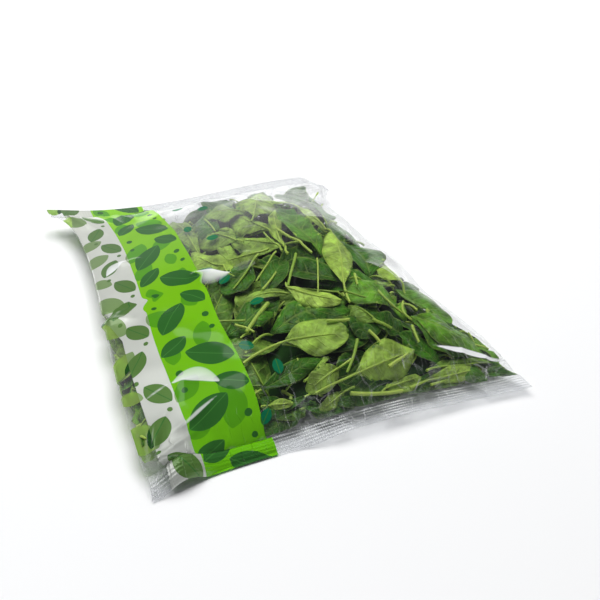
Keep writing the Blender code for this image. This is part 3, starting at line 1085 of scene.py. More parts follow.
def rib_tree():
    """Lifts and lowers the strip by rows of ribs."""
    sizes = ("Rib pitch", "Row pitch", "Rib height")
    inputs = dict.fromkeys(sizes, "NodeSocketFloat")
    tree, given = group_of_nodes("pressed_ribs", {**inputs, "Material": "NodeSocketMaterial"})
    rib_wave = wave_along(tree, "strip_across", given["Rib pitch"])
    rib_wave = times_plus(tree, rib_wave, 0.5, 0.5)
    row_wave = wave_along(tree, "strip_along", given["Row pitch"])
    share = field_named(tree, "strip_share")
    pressed = number(tree, "SINE", times(tree, share, math.pi))
    wave = times(tree, times(tree, row_wave, rib_wave), pressed)
    lift = times(tree, wave, given["Rib height"])
    offset = add_node(tree, "ShaderNodeCombineXYZ", {2: lift}).outputs[0]
    moved = add_node(tree, "GeometryNodeSetPosition", {0: given["Geometry"], "Offset": offset})
    end_group(tree, moved.outputs[0], given["Material"])
    return tree


def hanging(points, from_film, angle):
    """The strip's points bent down by up to this angle, towards its free edge."""
    angle = np.maximum(angle, LEAST_HANG)
    radius = SEAL_DEPTH / angle
    turned = angle * from_film / SEAL_DEPTH
    height = points[..., 2]
    bent = points.copy()
    bent[..., 1] += from_film - radius * np.sin(turned)
    bent[..., 2] = np.maximum(height - radius * (1.0 - np.cos(turned)), FLAT_ON_FLOOR + 0.05 * height)
    return bent


def closed_sheet_faces(rows, columns):
    """Faces of a thin closed sheet: its upper grid, its lower grid and the rim between them."""
    upper = grid_faces(rows, columns)
    lower = rows * columns
    border = np.concatenate(
        (
            np.arange(columns),
            np.arange(1, rows) * columns + columns - 1,
            (rows - 1) * columns + np.arange(columns - 2, -1, -1),
            np.arange(rows - 2, 0, -1) * columns,
        )
    )
    after = np.roll(border, -1)
    rim = np.stack((border, border + lower, after + lower, after), -1)
    return np.concatenate((upper, upper[:, ::-1] + lower, rim))


def seal_piece(name, first_along, last_along, first_row, last_row, tree):
    """One seal as a thin closed strip between two shares of the bag's length."""
    columns = round(FILM_WIDTH / SEAL_COLUMN_STEP) + 1
    rows = round(SEAL_DEPTH / SEAL_ROW_STEP) + 1
    share = np.linspace(0.0, 1.0, rows)[:, None]
    across = np.linspace(0.0, FILM_WIDTH, columns)[None, :]
    top, bottom = film_sheets(2.0 * across / FILM_WIDTH - 1.0, mix(first_along, last_along, share))
    top, bottom = top + film_shift, bottom + film_shift
    middle = 0.5 * (top + bottom)
    top = mix(middle, top, 0.5)
    bottom = mix(middle, bottom, 0.5)
    if first_along == 0.0:
        fading = 1.0 - smooth_step((across - HANG_REACH[0]) / (HANG_REACH[1] - HANG_REACH[0]))
        from_film = SEAL_DEPTH * (1.0 - share)
        top = hanging(top, from_film, HANG_ANGLE * fading)
        bottom = hanging(bottom, from_film, HANG_ANGLE * fading)
    points = np.concatenate((top.reshape(-1, 3), bottom.reshape(-1, 3)))
    material = film_material(name, welded=True)
    piece = new_piece(name, points, closed_sheet_faces(rows, columns).tolist(), material)
    across, along, share = np.broadcast_arrays(across, mix(first_row, last_row, share), share)
    twice = [np.concatenate((field.ravel(), field.ravel())) for field in (across, along, share)]
    put_ink(piece.data, twice[0], twice[1])
    for field, values in zip(("strip_across", "strip_along", "strip_share"), twice):
        put_values(piece.data, field, values)
    sizes = {"Rib pitch": RIB_PITCH, "Row pitch": RIB_ROW_PITCH, "Rib height": RIB_HEIGHT}
    shaped_by(piece, tree, {**sizes, "Material": material})
    keep_with_bag(piece)


ribs = rib_tree()
seal_piece("front_seal", 0.0, SEAL_SHARE, -SEAL_DEPTH, 0.0, ribs)
seal_piece("back_seal", 1.0 - SEAL_SHARE, 1.0, FILM_LENGTH, FILM_LENGTH + SEAL_DEPTH, ribs)


# The leaves lie in the bag as they fell, pressed under the film on every side. They are laid
# from the film inwards: each new leaf goes under what already lies there and bends a little to
# it. How deep the bag is filled is kept on a map of the flat film, in metres.
MAP_CELL = 0.001
FILM_GAP = 0.0005
LEAF_THICKNESS = 0.00036
BACK_CLEARANCE = 0.016     # the film stands off the heap along the back seal and the right side
SIDE_CLEARANCE = 0.014
STAND_OFF = 0.007
BACK_EDGE_ACROSS = (0.0, 0.080, 0.113, 0.150, 0.192, 0.222, 0.245, 0.270)    # the heap's back edge
BACK_EDGE_ALONG = (0.240, 0.274, 0.272, 0.276, 0.294, 0.294, 0.308, 0.298)
UNDER_EDGE_ACROSS = (0.27, 0.36, 0.54)                                       # and that on its sole
UNDER_EDGE_ALONG = (0.285, 0.26, 0.20)
RIGHT_EDGE_ALONG = (0.0, 0.035, 0.08, 0.13, 0.20, 0.26)                      # and its right edge
RIGHT_EDGE_ACROSS = (0.272, 0.270, 0.258, 0.246, 0.254, 0.270)
ROUND_THE_SIDE = 0.03


def back_limit(across):
    """How far towards the back seal the heap reaches, across the flat film."""
    top = np.interp(across, BACK_EDGE_ACROSS, BACK_EDGE_ALONG)
    under = np.interp(across, UNDER_EDGE_ACROSS, UNDER_EDGE_ALONG)
    return np.where(across < FILM_WIDTH, top, under)


def right_limit(along):
    """How far towards the right side the heap reaches, along the flat film."""
    return np.interp(along, RIGHT_EDGE_ALONG, RIGHT_EDGE_ACROSS)


def stand_off(across, along):
    """How far the film stands clear of the heap: a little over it, more past its edges."""
    to_back = smooth_step((along - back_limit(across) + 0.5 * BACK_CLEARANCE) / BACK_CLEARANCE)
    to_right = smooth_step((across - right_limit(along)) / SIDE_CLEARANCE)
    to_right = to_right * np.where(across < FILM_WIDTH + ROUND_THE_SIDE, 1.0, 0.0)
    return FILM_GAP + STAND_OFF * np.maximum(to_back, to_right)


def sample_grid(grid, rows, columns):
    """The grid's value between its points; its columns run round the tube."""
    rows = np.clip(rows, 0.0, grid.shape[0] - 1.001)
    low_row = rows.astype(int)
    low_column = np.floor(columns).astype(int)
    row_part, column_part = rows - low_row, columns - low_column
    if grid.ndim == 3:
        row_part, column_part = row_part[..., None], column_part[..., None]
    low_column, next_column = low_column % grid.shape[1], (low_column + 1) % grid.shape[1]
    near = mix(grid[low_row, low_column], grid[low_row, next_column], column_part)
    far = mix(grid[low_row + 1, low_column], grid[low_row + 1, next_column], column_part)
    return mix(near, far, row_part)


map_along = np.arange(0.0, FILM_LENGTH + MAP_CELL, MAP_CELL)
map_across = np.arange(0.0, 2.0 * FILM_WIDTH, MAP_CELL)
filled = stand_off(map_across[None, :], map_along[:, None])


def filled_at(across, along):
    """How deep the bag is filled under these places of the flat film."""
    return sample_grid(filled, along / MAP_CELL, across / MAP_CELL)


def fill_under(across, along, depth):
    """Marks the bag as filled down to this depth under these places."""
    row = np.clip(np.rint(along / MAP_CELL).astype(int), 0, filled.shape[0] - 1)
    column = np.rint(across / MAP_CELL).astype(int) % filled.shape[1]
    np.maximum.at(filled, (row.ravel(), column.ravel()), depth.ravel())


def inside_film(across, along, depth):
    """Places in the frame, this deep under the smooth film."""
    column_numbers = np.arange(len(film_columns) + 1)
    wrapped = across % (2.0 * FILM_WIDTH)
    columns = np.interp(wrapped, np.append(film_columns, 2.0 * FILM_WIDTH), column_numbers)
    rows = np.interp(along, film_rows, np.arange(len(film_rows)))
    normals = sample_grid(film_normals, rows, columns)
    return sample_grid(film_points, rows, columns) - normals * depth[..., None]


SIDE_ROOM = 0.009
SIDE_ROOM_STEEPNESS = 8


def room_at(across, along):
    """Half the height that the bag has here, and a little more at its rounded sides."""
    wrapped = across % (2.0 * FILM_WIDTH)
    from_left = np.where(wrapped < FILM_WIDTH, wrapped, 2.0 * FILM_WIDTH - wrapped) / FILM_WIDTH
    share = 2.0 * from_left - 1.0
    along_share = np.interp(along, film_rows, row_along)
    top, bottom = film_sheets(share, along_share)
    half_height = 0.5 * (top - bottom)[..., 2]
    side_room = SIDE_ROOM * np.abs(share) ** SIDE_ROOM_STEEPNESS * swell_along(along_share)
    return np.maximum(half_height, side_room)


def finer(grid, places):
    """The grid with this many places for each of its steps."""
    rows = np.linspace(0.0, grid.shape[0] - 1.001, (grid.shape[0] - 1) * places + 1)
    columns = np.linspace(0.0, grid.shape[1] - 1.001, (grid.shape[1] - 1) * places + 1)
    return sample_grid(grid, rows[:, None], columns[None, :])


def settled(across, along, shape, tilt, pressed):
    """Depth of each point of a stiff thing laid under what is there, bending where it must."""
    ceiling = filled_at(across, along)
    sides = np.stack((np.ones(across.size), across.ravel(), along.ravel()), -1)
    slope = np.linalg.lstsq(sides, ceiling.ravel(), rcond=None)[0]
    level = (sides @ slope).reshape(across.shape)
    stiff = level + shape + tilt[0] * (across - across.mean()) + tilt[1] * (along - along.mean())
    stiff += np.quantile(ceiling - stiff, pressed)
    over = ceiling - stiff
    return stiff + np.where(over > 0.0, over, 0.0) + JUST_UNDER


class Heap:
    """Points and faces of many closed pieces, with the values that their materials read."""

    def __init__(self):
        self.points, self.faces, self.count = [], [], 0
        self.maps, self.tones, self.sides = [], [], []

    def add(self, points, faces, places, tone, side):
        self.points.append(points)
        self.faces.extend((faces + self.count).tolist())
        self.maps.append(places)
        self.tones.append(np.full(len(points), tone))
        self.sides.append(np.broadcast_to(side, len(points)))
        self.count += len(points)

    def piece(self, name, material, slot):
        piece = new_piece(name, np.concatenate(self.points), self.faces, material)
        places = np.concatenate(self.maps)
        put_film_map(piece.data, places[:, 0], places[:, 1])
        put_values(piece.data, "tone", np.concatenate(self.tones))
        put_values(piece.data, "underside", np.concatenate(self.sides))
        keep_with_bag(piece)


TIP_CROWDING = 1.3
FOOT_HALF_WIDTH = 0.0012
TIP_HALF_WIDTH = 0.0002
FOOT_RADIUS = 0.0008
TIP_RADIUS = 0.0002
FOOT_BEND = 0.006
STALK_RADIUS = 0.00085
STALK_STEPS = 8
UPPER_RIB = 0.25           # how much of a blade's length its raised rib takes, above and below
UNDER_RIB = 0.7
FOLDED_SHARE = 0.10
FOLD_GAP = 0.0011
SEAL_KEEP = 0.004          # no leaf comes nearer to the seals, and from the last it is crowded
SEAL_CROWD = 0.003
CROWDED_FROM = 0.007
JUST_UNDER = 0.0001
SEAL_EDGE = 0.001
LEAST_COVER = 0.6 * FILM_GAP
STALK_ROOM = 0.0007
FOOT_CURVE, TIP_CURVE, TIP_ROUNDNESS = 1.15, 2.1, 0.62
WIDEST_AT = (0.42, 0.58)       # where a blade is widest, along it
CUPPED_DOWN = (-0.05, 0.45)    # how steeply its halves slope from the rib, if its underside shows
CUPPED_UP = (-0.38, 0.15)      # and if its face does
EDGE_WAVES = (1.0, 2.4)
EDGE_SWING = (0.0006, 0.0026)
ANY_PHASE = 6.28
ARCH_MILLIMETRES = (-1.5, 5.5)
PRESSED = (0.86, 0.99)         # the share of a blade that ends up clear of what it lies under
RIB_OUTSIDE, RIB_INSIDE = -0.5, 1.4    # the rib's depth under its blade, in its own radii
EDGE_STEEPNESS = 6
EDGE_THICKNESS = 0.3
RIB_TONE, CUT_TONE, TONE_REACH = 0.35, 0.45, 0.5
STALK_THICKNESS = (0.8, 1.3)


def blade_outline(share, widest):
    """Half the blade's width along it, of 1 at the most: a spoon shape with a round tip."""
    to_widest = np.minimum(share / widest, 1.0)
    to_tip = np.maximum((share - widest) / (1.0 - widest), 0.0)
    to_foot = np.sin(0.5 * math.pi * to_widest) ** FOOT_CURVE
    return to_foot * (1.0 - to_tip ** TIP_CURVE) ** TIP_ROUNDNESS


def lying_line(across, along, share):
    """Depth of a nearly straight stalk under what is there, along its share of the way."""
    ceiling = filled_at(across, along)
    bend = np.polyfit(share, ceiling, 2 if len(share) > 4 else 1)
    smooth = np.polyval(bend, share)
    return smooth + np.max(ceiling - smooth)


def lay_stalk(stalks, path, depth, radius, tone):
    """Adds a stalk's line, cut off where the bag is too thin for it, to those that the tree thickens."""
    fits = room_at(path[:, 0], path[:, 1]) > radius + STALK_ROOM
    first = len(fits) - int(np.argmin(fits[::-1])) if not fits.all() else 0
    if len(fits) - first > 2:
        points = inside_film(path[first:, 0], path[first:, 1], depth[first:])
        stalks.add(points, radius[first:], tone[first:])


def curved_line(first, last, bow, share):
    """Places on a bowed line between two places of the flat film, and its heading at each."""
    first, last = np.array(first), np.array(last)
    chord = last - first
    leftward = np.array((-chord[1], chord[0]))
    places = first + chord * share[:, None] + leftward * (4.0 * bow * share * (1.0 - share))[:, None]
    heading = chord + leftward * (4.0 * bow * (1.0 - 2.0 * share))[:, None]
    return places, heading / np.linalg.norm(heading, axis=1)[:, None]


def spread_blade(draw, leaf, steps, strips):
    """A blade's rib on the flat film, with its heading, its points' reach aside and if it is folded."""
    foot, tip, bow, width = leaf[:4]
    share = 1.0 - (1.0 - np.linspace(0.0, 1.0, steps + 1)) ** TIP_CROWDING
    strip = np.linspace(-1.0, 1.0, strips + 1)[None, :]
    line, heading = curved_line(foot, tip, bow, share)
    outline = blade_outline(share, draw.uniform(*WIDEST_AT))
    half_width = 0.5 * width * outline + mix(FOOT_HALF_WIDTH, TIP_HALF_WIDTH, share)
    folded = draw.random() < FOLDED_SHARE
    reach = (np.abs(strip) if folded else strip) * half_width[:, None]
    return share[:, None], strip, line, heading, reach, folded


def off_the_seals(along):
    """The same places, with those that would lie in a seal crowded just inside it."""
    over_front = np.minimum((along - SEAL_KEEP) / SEAL_CROWD, 0.0)
    along = np.where(along < SEAL_KEEP, SEAL_EDGE + SEAL_CROWD * np.exp(over_front), along)
    past_back = np.maximum(along - (FILM_LENGTH - CROWDED_FROM), 0.0)
    crowded = FILM_LENGTH - SEAL_KEEP - SEAL_CROWD * np.exp(-past_back / SEAL_CROWD)
    return np.where(past_back > 0.0, crowded, along)


def blade_form(draw, share, strip, reach, underside, folded):
    """How far each point of a blade stands off its plane: cupped, wavy and arched."""
    fold = draw.uniform(*(CUPPED_DOWN if underside else CUPPED_UP))
    waves = draw.uniform(*EDGE_WAVES)
    swing = draw.uniform(*EDGE_SWING)
    phase = np.where(strip < 0.0, draw.uniform(0.0, ANY_PHASE), draw.uniform(0.0, ANY_PHASE))
    wavy = swing * np.abs(strip) ** 2.0 * np.sin(2.0 * math.pi * waves * share + phase)
    arch = draw.uniform(*ARCH_MILLIMETRES) * 0.001 * (2.0 * share - 1.0) ** 2
    form = fold * np.abs(reach) + wavy + arch
    return form + np.where(strip < 0.0, FOLD_GAP, 0.0) if folded else form


def lay_leaf_stalk(stalks, draw, line, heading, stalk_end, rib_depth, rib_radius, tone):
    """Lays a leaf's stalk, bent round from the foot of the blade to its end, and its midrib."""
    out = np.linspace(0.0, 1.0, STALK_STEPS + 1)[1:]
    stalk_length = math.dist(line[0], stalk_end)
    leaving = line[0] - heading[0] * 0.5 * stalk_length
    near_part, far_part = (2.0 * out * (1.0 - out))[:, None], (out ** 2)[:, None]
    stalk = (1.0 - out)[:, None] ** 2 * line[0] + near_part * leaving + far_part * np.array(stalk_end)
    stalk[:, 1] = np.clip(stalk[:, 1], 2.0 * SEAL_EDGE, FILM_LENGTH - SEAL_KEEP)
    radius = mix(FOOT_RADIUS, STALK_RADIUS * draw.uniform(*STALK_THICKNESS), out)
    depth = lying_line(stalk[:, 0], stalk[:, 1], out) + radius
    depth = mix(depth, rib_depth[0], np.exp(-out * stalk_length / FOOT_BEND))
    path_radius = np.concatenate((radius[::-1], rib_radius))
    path_depth = np.concatenate((depth[::-1], rib_depth))
    path_depth = np.maximum(path_depth, path_radius + LEAST_COVER)
    path = np.concatenate((stalk[::-1], line[:len(rib_radius)]))
    rib_tone = np.full(len(rib_radius), RIB_TONE + TONE_REACH * tone)
    cut_tone = CUT_TONE + TONE_REACH * draw.random()
    path_tone = np.concatenate((mix(rib_tone[0], cut_tone, out[::-1]), rib_tone))
    lay_stalk(stalks, path, path_depth, path_radius, path_tone)
    fill_under(stalk[:, 0], stalk[:, 1], depth + radius)


def lay_leaf(heap, stalks, draw, leaf, stalk_end, fineness):
    """Lays one leaf from its foot to its tip; False if there is no room for it.

    The leaf is (foot, tip, bow, width, underside, tone, lean). The fineness is its blade's steps
    and strips, how far it may hang below what it lies under, the deepest it may lie as a share
    of half the bag's height, the most of it that may be pressed flat at that depth, and the most
    of it that may be crowded against a seal.
    """
    foot, tip, _, _, underside, tone, lean = leaf
    steps, strips, sunk, most_deep, most_pressed, most_crowded = fineness
    share, strip, line, heading, reach, folded = spread_blade(draw, leaf, steps, strips)
    underside = underside or folded
    across = line[:, :1] - reach * heading[:, 1:]
    along = line[:, 1:] + reach * heading[:, :1]
    if np.mean((along < SEAL_EDGE) | (along > FILM_LENGTH - SEAL_KEEP)) > most_crowded:
        return False
    along = off_the_seals(along)

    form = blade_form(draw, share, strip, reach, underside, folded)
    depth = settled(across, along, form, lean, draw.uniform(*PRESSED)) + draw.uniform(0.0, sunk)
    room = most_deep * room_at(across, along)
    if np.mean(depth > room) > most_pressed:
        return False
    depth = np.minimum(depth, room)
    ribbed = round((UNDER_RIB if underside else UPPER_RIB) * steps) + 1
    rib_radius = np.linspace(FOOT_RADIUS, TIP_RADIUS, ribbed)
    rib_depth = depth[:ribbed, strips // 2] + (RIB_OUTSIDE if underside else RIB_INSIDE) * rib_radius
    lay_leaf_stalk(stalks, draw, line, heading, stalk_end, rib_depth, rib_radius, tone)

    edge = 1.0 - np.abs(strip) ** EDGE_STEEPNESS * np.ones_like(share)
    thick = LEAF_THICKNESS * mix(EDGE_THICKNESS, 1.0, edge)
    thick = thick * np.where(folded & (strip < 0.0), -1.0, 1.0)
    upper = inside_film(across, along, depth)
    lower = inside_film(across, along, depth + thick)
    points = np.concatenate((upper.reshape(-1, 3), lower.reshape(-1, 3)))
    places = np.stack(np.broadcast_arrays(share, strip), -1).reshape(-1, 2)
    side_values = np.repeat((1.0, 0.0) if underside else (0.0, 1.0), across.size)
    faces = closed_sheet_faces(*across.shape)[:, ::-1]
    heap.add(points, faces, np.concatenate((places, places)), tone, side_values)
    places = math.ceil(1.1 * math.dist(foot, tip) / steps / MAP_CELL)
    under = finer(depth + np.abs(thick), places) + JUST_UNDER
    fill_under(finer(across, places), finer(along, places), under)
    return True


class Lines:
    """Lines of points, each with its own thickness and tone, joined in one mesh of edges."""

    def __init__(self):
        self.points, self.edges, self.radii, self.tones, self.count = [], [], [], [], 0

    def add(self, points, radius, tone):
        first = self.count + np.arange(len(points) - 1)
        self.points.append(points)
        self.edges.extend(np.stack((first, first + 1), -1).tolist())
        self.radii.append(radius)
        self.tones.append(tone)
        self.count += len(points)

    def piece(self, name, tree, sides, material, slot):
        mesh = bpy.data.meshes.new(name)
        mesh.from_pydata(np.concatenate(self.points), self.edges, [])
        put_values(mesh, "radius_here", np.concatenate(self.radii))
        put_values(mesh, "tone", np.concatenate(self.tones))
        piece = new_object(name, mesh)
        shaped_by(piece, tree, {"Sides": sides, "Material": material})
        piece.data.shade_smooth()
        keep_with_bag(piece)


def stalk_tree():
    """Gives each line a round body as thick as the line says, with closed ends."""
    tree, given = group_of_nodes(
        "thick_lines", {"Sides": "NodeSocketInt", "Material": "NodeSocketMaterial"}
    )
    curves = add_node(tree, "GeometryNodeMeshToCurve", {0: given["Geometry"]}).outputs[0]
    ring = add_node(
        tree, "GeometryNodeCurvePrimitiveCircle", {"Resolution": given["Sides"], "Radius": 1.0}
    ).outputs[0]
    body = add_node(
        tree,
        "GeometryNodeCurveToMesh",
        {0: curves, 1: ring, "Scale": field_named(tree, "radius_here"), "Fill Caps": True},
    ).outputs[0]
    end_group(tree, body, given["Material"])
    return tree


# Baby spinach: smooth dark green above with a pale rib and bowed side veins, duller and paler
# below, and a fleshy pale yellow-green stalk.
LEAF_DARK = (0.014, 0.070, 0.003, 1.0)
LEAF_MID = (0.050, 0.205, 0.006, 1.0)
LEAF_PALE = (0.165, 0.385, 0.022, 1.0)
UNDER_DARK = (0.070, 0.185, 0.016, 1.0)
UNDER_PALE = (0.400, 0.590, 0.085, 1.0)
VEIN = (0.44, 0.60, 0.13, 1.0)
STALK_DARK = (0.140, 0.360, 0.015, 1.0)
STALK_PALE = (0.620, 0.780, 0.150, 1.0)
VEIN_PAIRS = 6.5
VEIN_WIDTH = 0.13
VEIN_BEND, VEIN_BOW = 1.4, 1.5         # how the side veins sweep forward, and what disturbs them
VEIN_WANDER = 0.9
VEIN_FADE = 2.5
SIDE_VEIN_SHARE = 0.75
MIDRIB = (0.03, 0.12)                  # where it begins to fade, aside of the middle, and its end
MIDRIB_END = 1.05
BLOTCH_SCALE, GRAIN_SCALE, NET_SCALE = 100.0, 420.0, 430.0
NET_WIDTH = 0.16
# A pale band along the blade's rim is a painted highlight, where curled edges catch the light.
RIM_HIGHLIGHT = (0.88, 1.0, 0.0, 0.40)
MID_TONES, PALE_TONES = (0.0, 0.6), (0.55, 1.0)
# The blotches darken and lighten the colour: painted shade and light of the leaf's curves.
BLOTCH_SHADE = (0.30, 0.70, 0.45, 1.55)
GRAIN_SHADE = (0.7, 0.65)              # such a pair is a value's factor and what is added to it
VEIN_CLEARNESS = (0.25, 0.20)
UNDER_CLEARNESS = 0.28
NET_CLEARNESS = 0.09
VEIN_HEIGHT = (0.34, -0.20)
GRAIN_HEIGHT = 0.12
LEAF_ROUGHNESS = (0.15, 0.36)
LEAF_RELIEF = 0.0032
LEAF_GLOW = 0.15
STALK_BLOTCH_SCALE = 140.0
STALK_TONE = (0.9, -0.2)
STALK_BLOTCH = 0.5
STALK_RELIEF = (0.6, 0.0006)
STALK_ROUGHNESS = 0.34
STALK_GLOW = 0.22


def glowing(tree, shader, colour, share):
    """Lets this share of the light through, as a thin leaf does."""
    glow = add_node(tree, "ShaderNodeBsdfTranslucent", {"Color": colour})
    surface = blend_shader(tree, share, shader.outputs[0], glow.outputs[0])
    tree.links.new(surface, tree.nodes["Material Output"].inputs[0])


def leaf_veins(tree, share, aside, blotch):
    """How clear the midrib and the bowed side veins are, from 0 to 1."""
    bowed = times(tree, number(tree, "POWER", aside, VEIN_BEND), VEIN_BOW)
    turns = minus(tree, times(tree, share, VEIN_PAIRS), bowed)
    turns = times_plus(tree, blotch, VEIN_WANDER, turns)
    side_vein = ranged(tree, from_middle(tree, turns), 0.0, VEIN_WIDTH, 1.0, 0.0)
    fading = minus(tree, 1.0, number(tree, "POWER", aside, VEIN_FADE))
    side_vein = times(tree, side_vein, fading)
    rib = ranged(tree, aside, *MIDRIB, 1.0, 0.0)
    rib = times(tree, rib, minus(tree, MIDRIB_END, share))
    return number(tree, "MAXIMUM", times(tree, side_vein, SIDE_VEIN_SHARE), rib)


def leaf_material():
    """Blades: a face and an underside; blotches of painted shade and light, veins, a fine net, a painted
    rim highlight.
    """
    material, tree, shader, at = plain_material("spinach_leaf")
    place = add_node(tree, "ShaderNodeUVMap", uv_map="film").outputs[0]
    split = add_node(tree, "ShaderNodeSeparateXYZ", {0: place}).outputs
    share, aside = split[0], number(tree, "ABSOLUTE", split[1])
    tone, under = carried(tree, "tone"), carried(tree, "underside")
    blotch = cloudy(tree, at, BLOTCH_SCALE)
    grain = cloudy(tree, at, GRAIN_SCALE)
    cells = add_node(tree, "ShaderNodeTexVoronoi", {"Vector": at, "Scale": NET_SCALE})
    cells.feature = "DISTANCE_TO_EDGE"
    net = ranged(tree, cells.outputs["Distance"], 0.0, NET_WIDTH, 1.0, 0.0)
    veins = leaf_veins(tree, share, aside, blotch)
    rim_highlight = ranged(tree, aside, *RIM_HIGHLIGHT)

    face = blend_colour(tree, ranged(tree, tone, *MID_TONES), LEAF_DARK, LEAF_MID)
    face = blend_colour(tree, ranged(tree, tone, *PALE_TONES), face, LEAF_PALE)
    back = blend_colour(tree, tone, UNDER_DARK, UNDER_PALE)
    shade = times_plus(tree, grain, *GRAIN_SHADE)
    shade = times(tree, ranged(tree, blotch, *BLOTCH_SHADE), shade)
    shade = add_node(tree, "ShaderNodeCombineColor", {0: shade, 1: shade, 2: shade}).outputs[0]
    layers = {0: 1.0, 6: blend_colour(tree, under, face, back), 7: shade}
    shaded = add_node(tree, "ShaderNodeMix", layers, data_type="RGBA", blend_type="MULTIPLY")
    clearness = times_plus(tree, tone, *VEIN_CLEARNESS)
    clearness = times_plus(tree, under, UNDER_CLEARNESS, clearness)
    vein_share = times(tree, veins, clearness)
    vein_share = times_plus(tree, net, NET_CLEARNESS, vein_share)
    vein_share = number(tree, "MAXIMUM", vein_share, rim_highlight)
    colour = blend_colour(tree, vein_share, shaded.outputs[2], VEIN)

    height = times(tree, veins, times_plus(tree, under, *VEIN_HEIGHT))
    height = plus(tree, blotch, height)
    height = times_plus(tree, grain, GRAIN_HEIGHT, height)
    tree.links.new(colour, shader.inputs["Base Color"])
    tree.links.new(bumped(tree, 1.0, LEAF_RELIEF, height), shader.inputs["Normal"])
    roughness = times_plus(tree, under, *LEAF_ROUGHNESS)
    tree.links.new(roughness, shader.inputs["Roughness"])
    glowing(tree, shader, colour, LEAF_GLOW)
    return material


def stalk_material():
    """Stalks: smooth, fleshy and paler where their tone is higher."""
    material, tree, shader, at = plain_material("spinach_stalk")
    blotch = cloudy(tree, at, STALK_BLOTCH_SCALE)
    share = times_plus(tree, carried(tree, "tone"), *STALK_TONE)
    share = times_plus(tree, blotch, STALK_BLOTCH, share)
    colour = blend_colour(tree, share, STALK_DARK, STALK_PALE)
    tree.links.new(colour, shader.inputs["Base Color"])
    tree.links.new(bumped(tree, *STALK_RELIEF, blotch), shader.inputs["Normal"])
    shader.inputs["Roughness"].default_value = STALK_ROUGHNESS
    glowing(tree, shader, colour, STALK_GLOW)
    return material


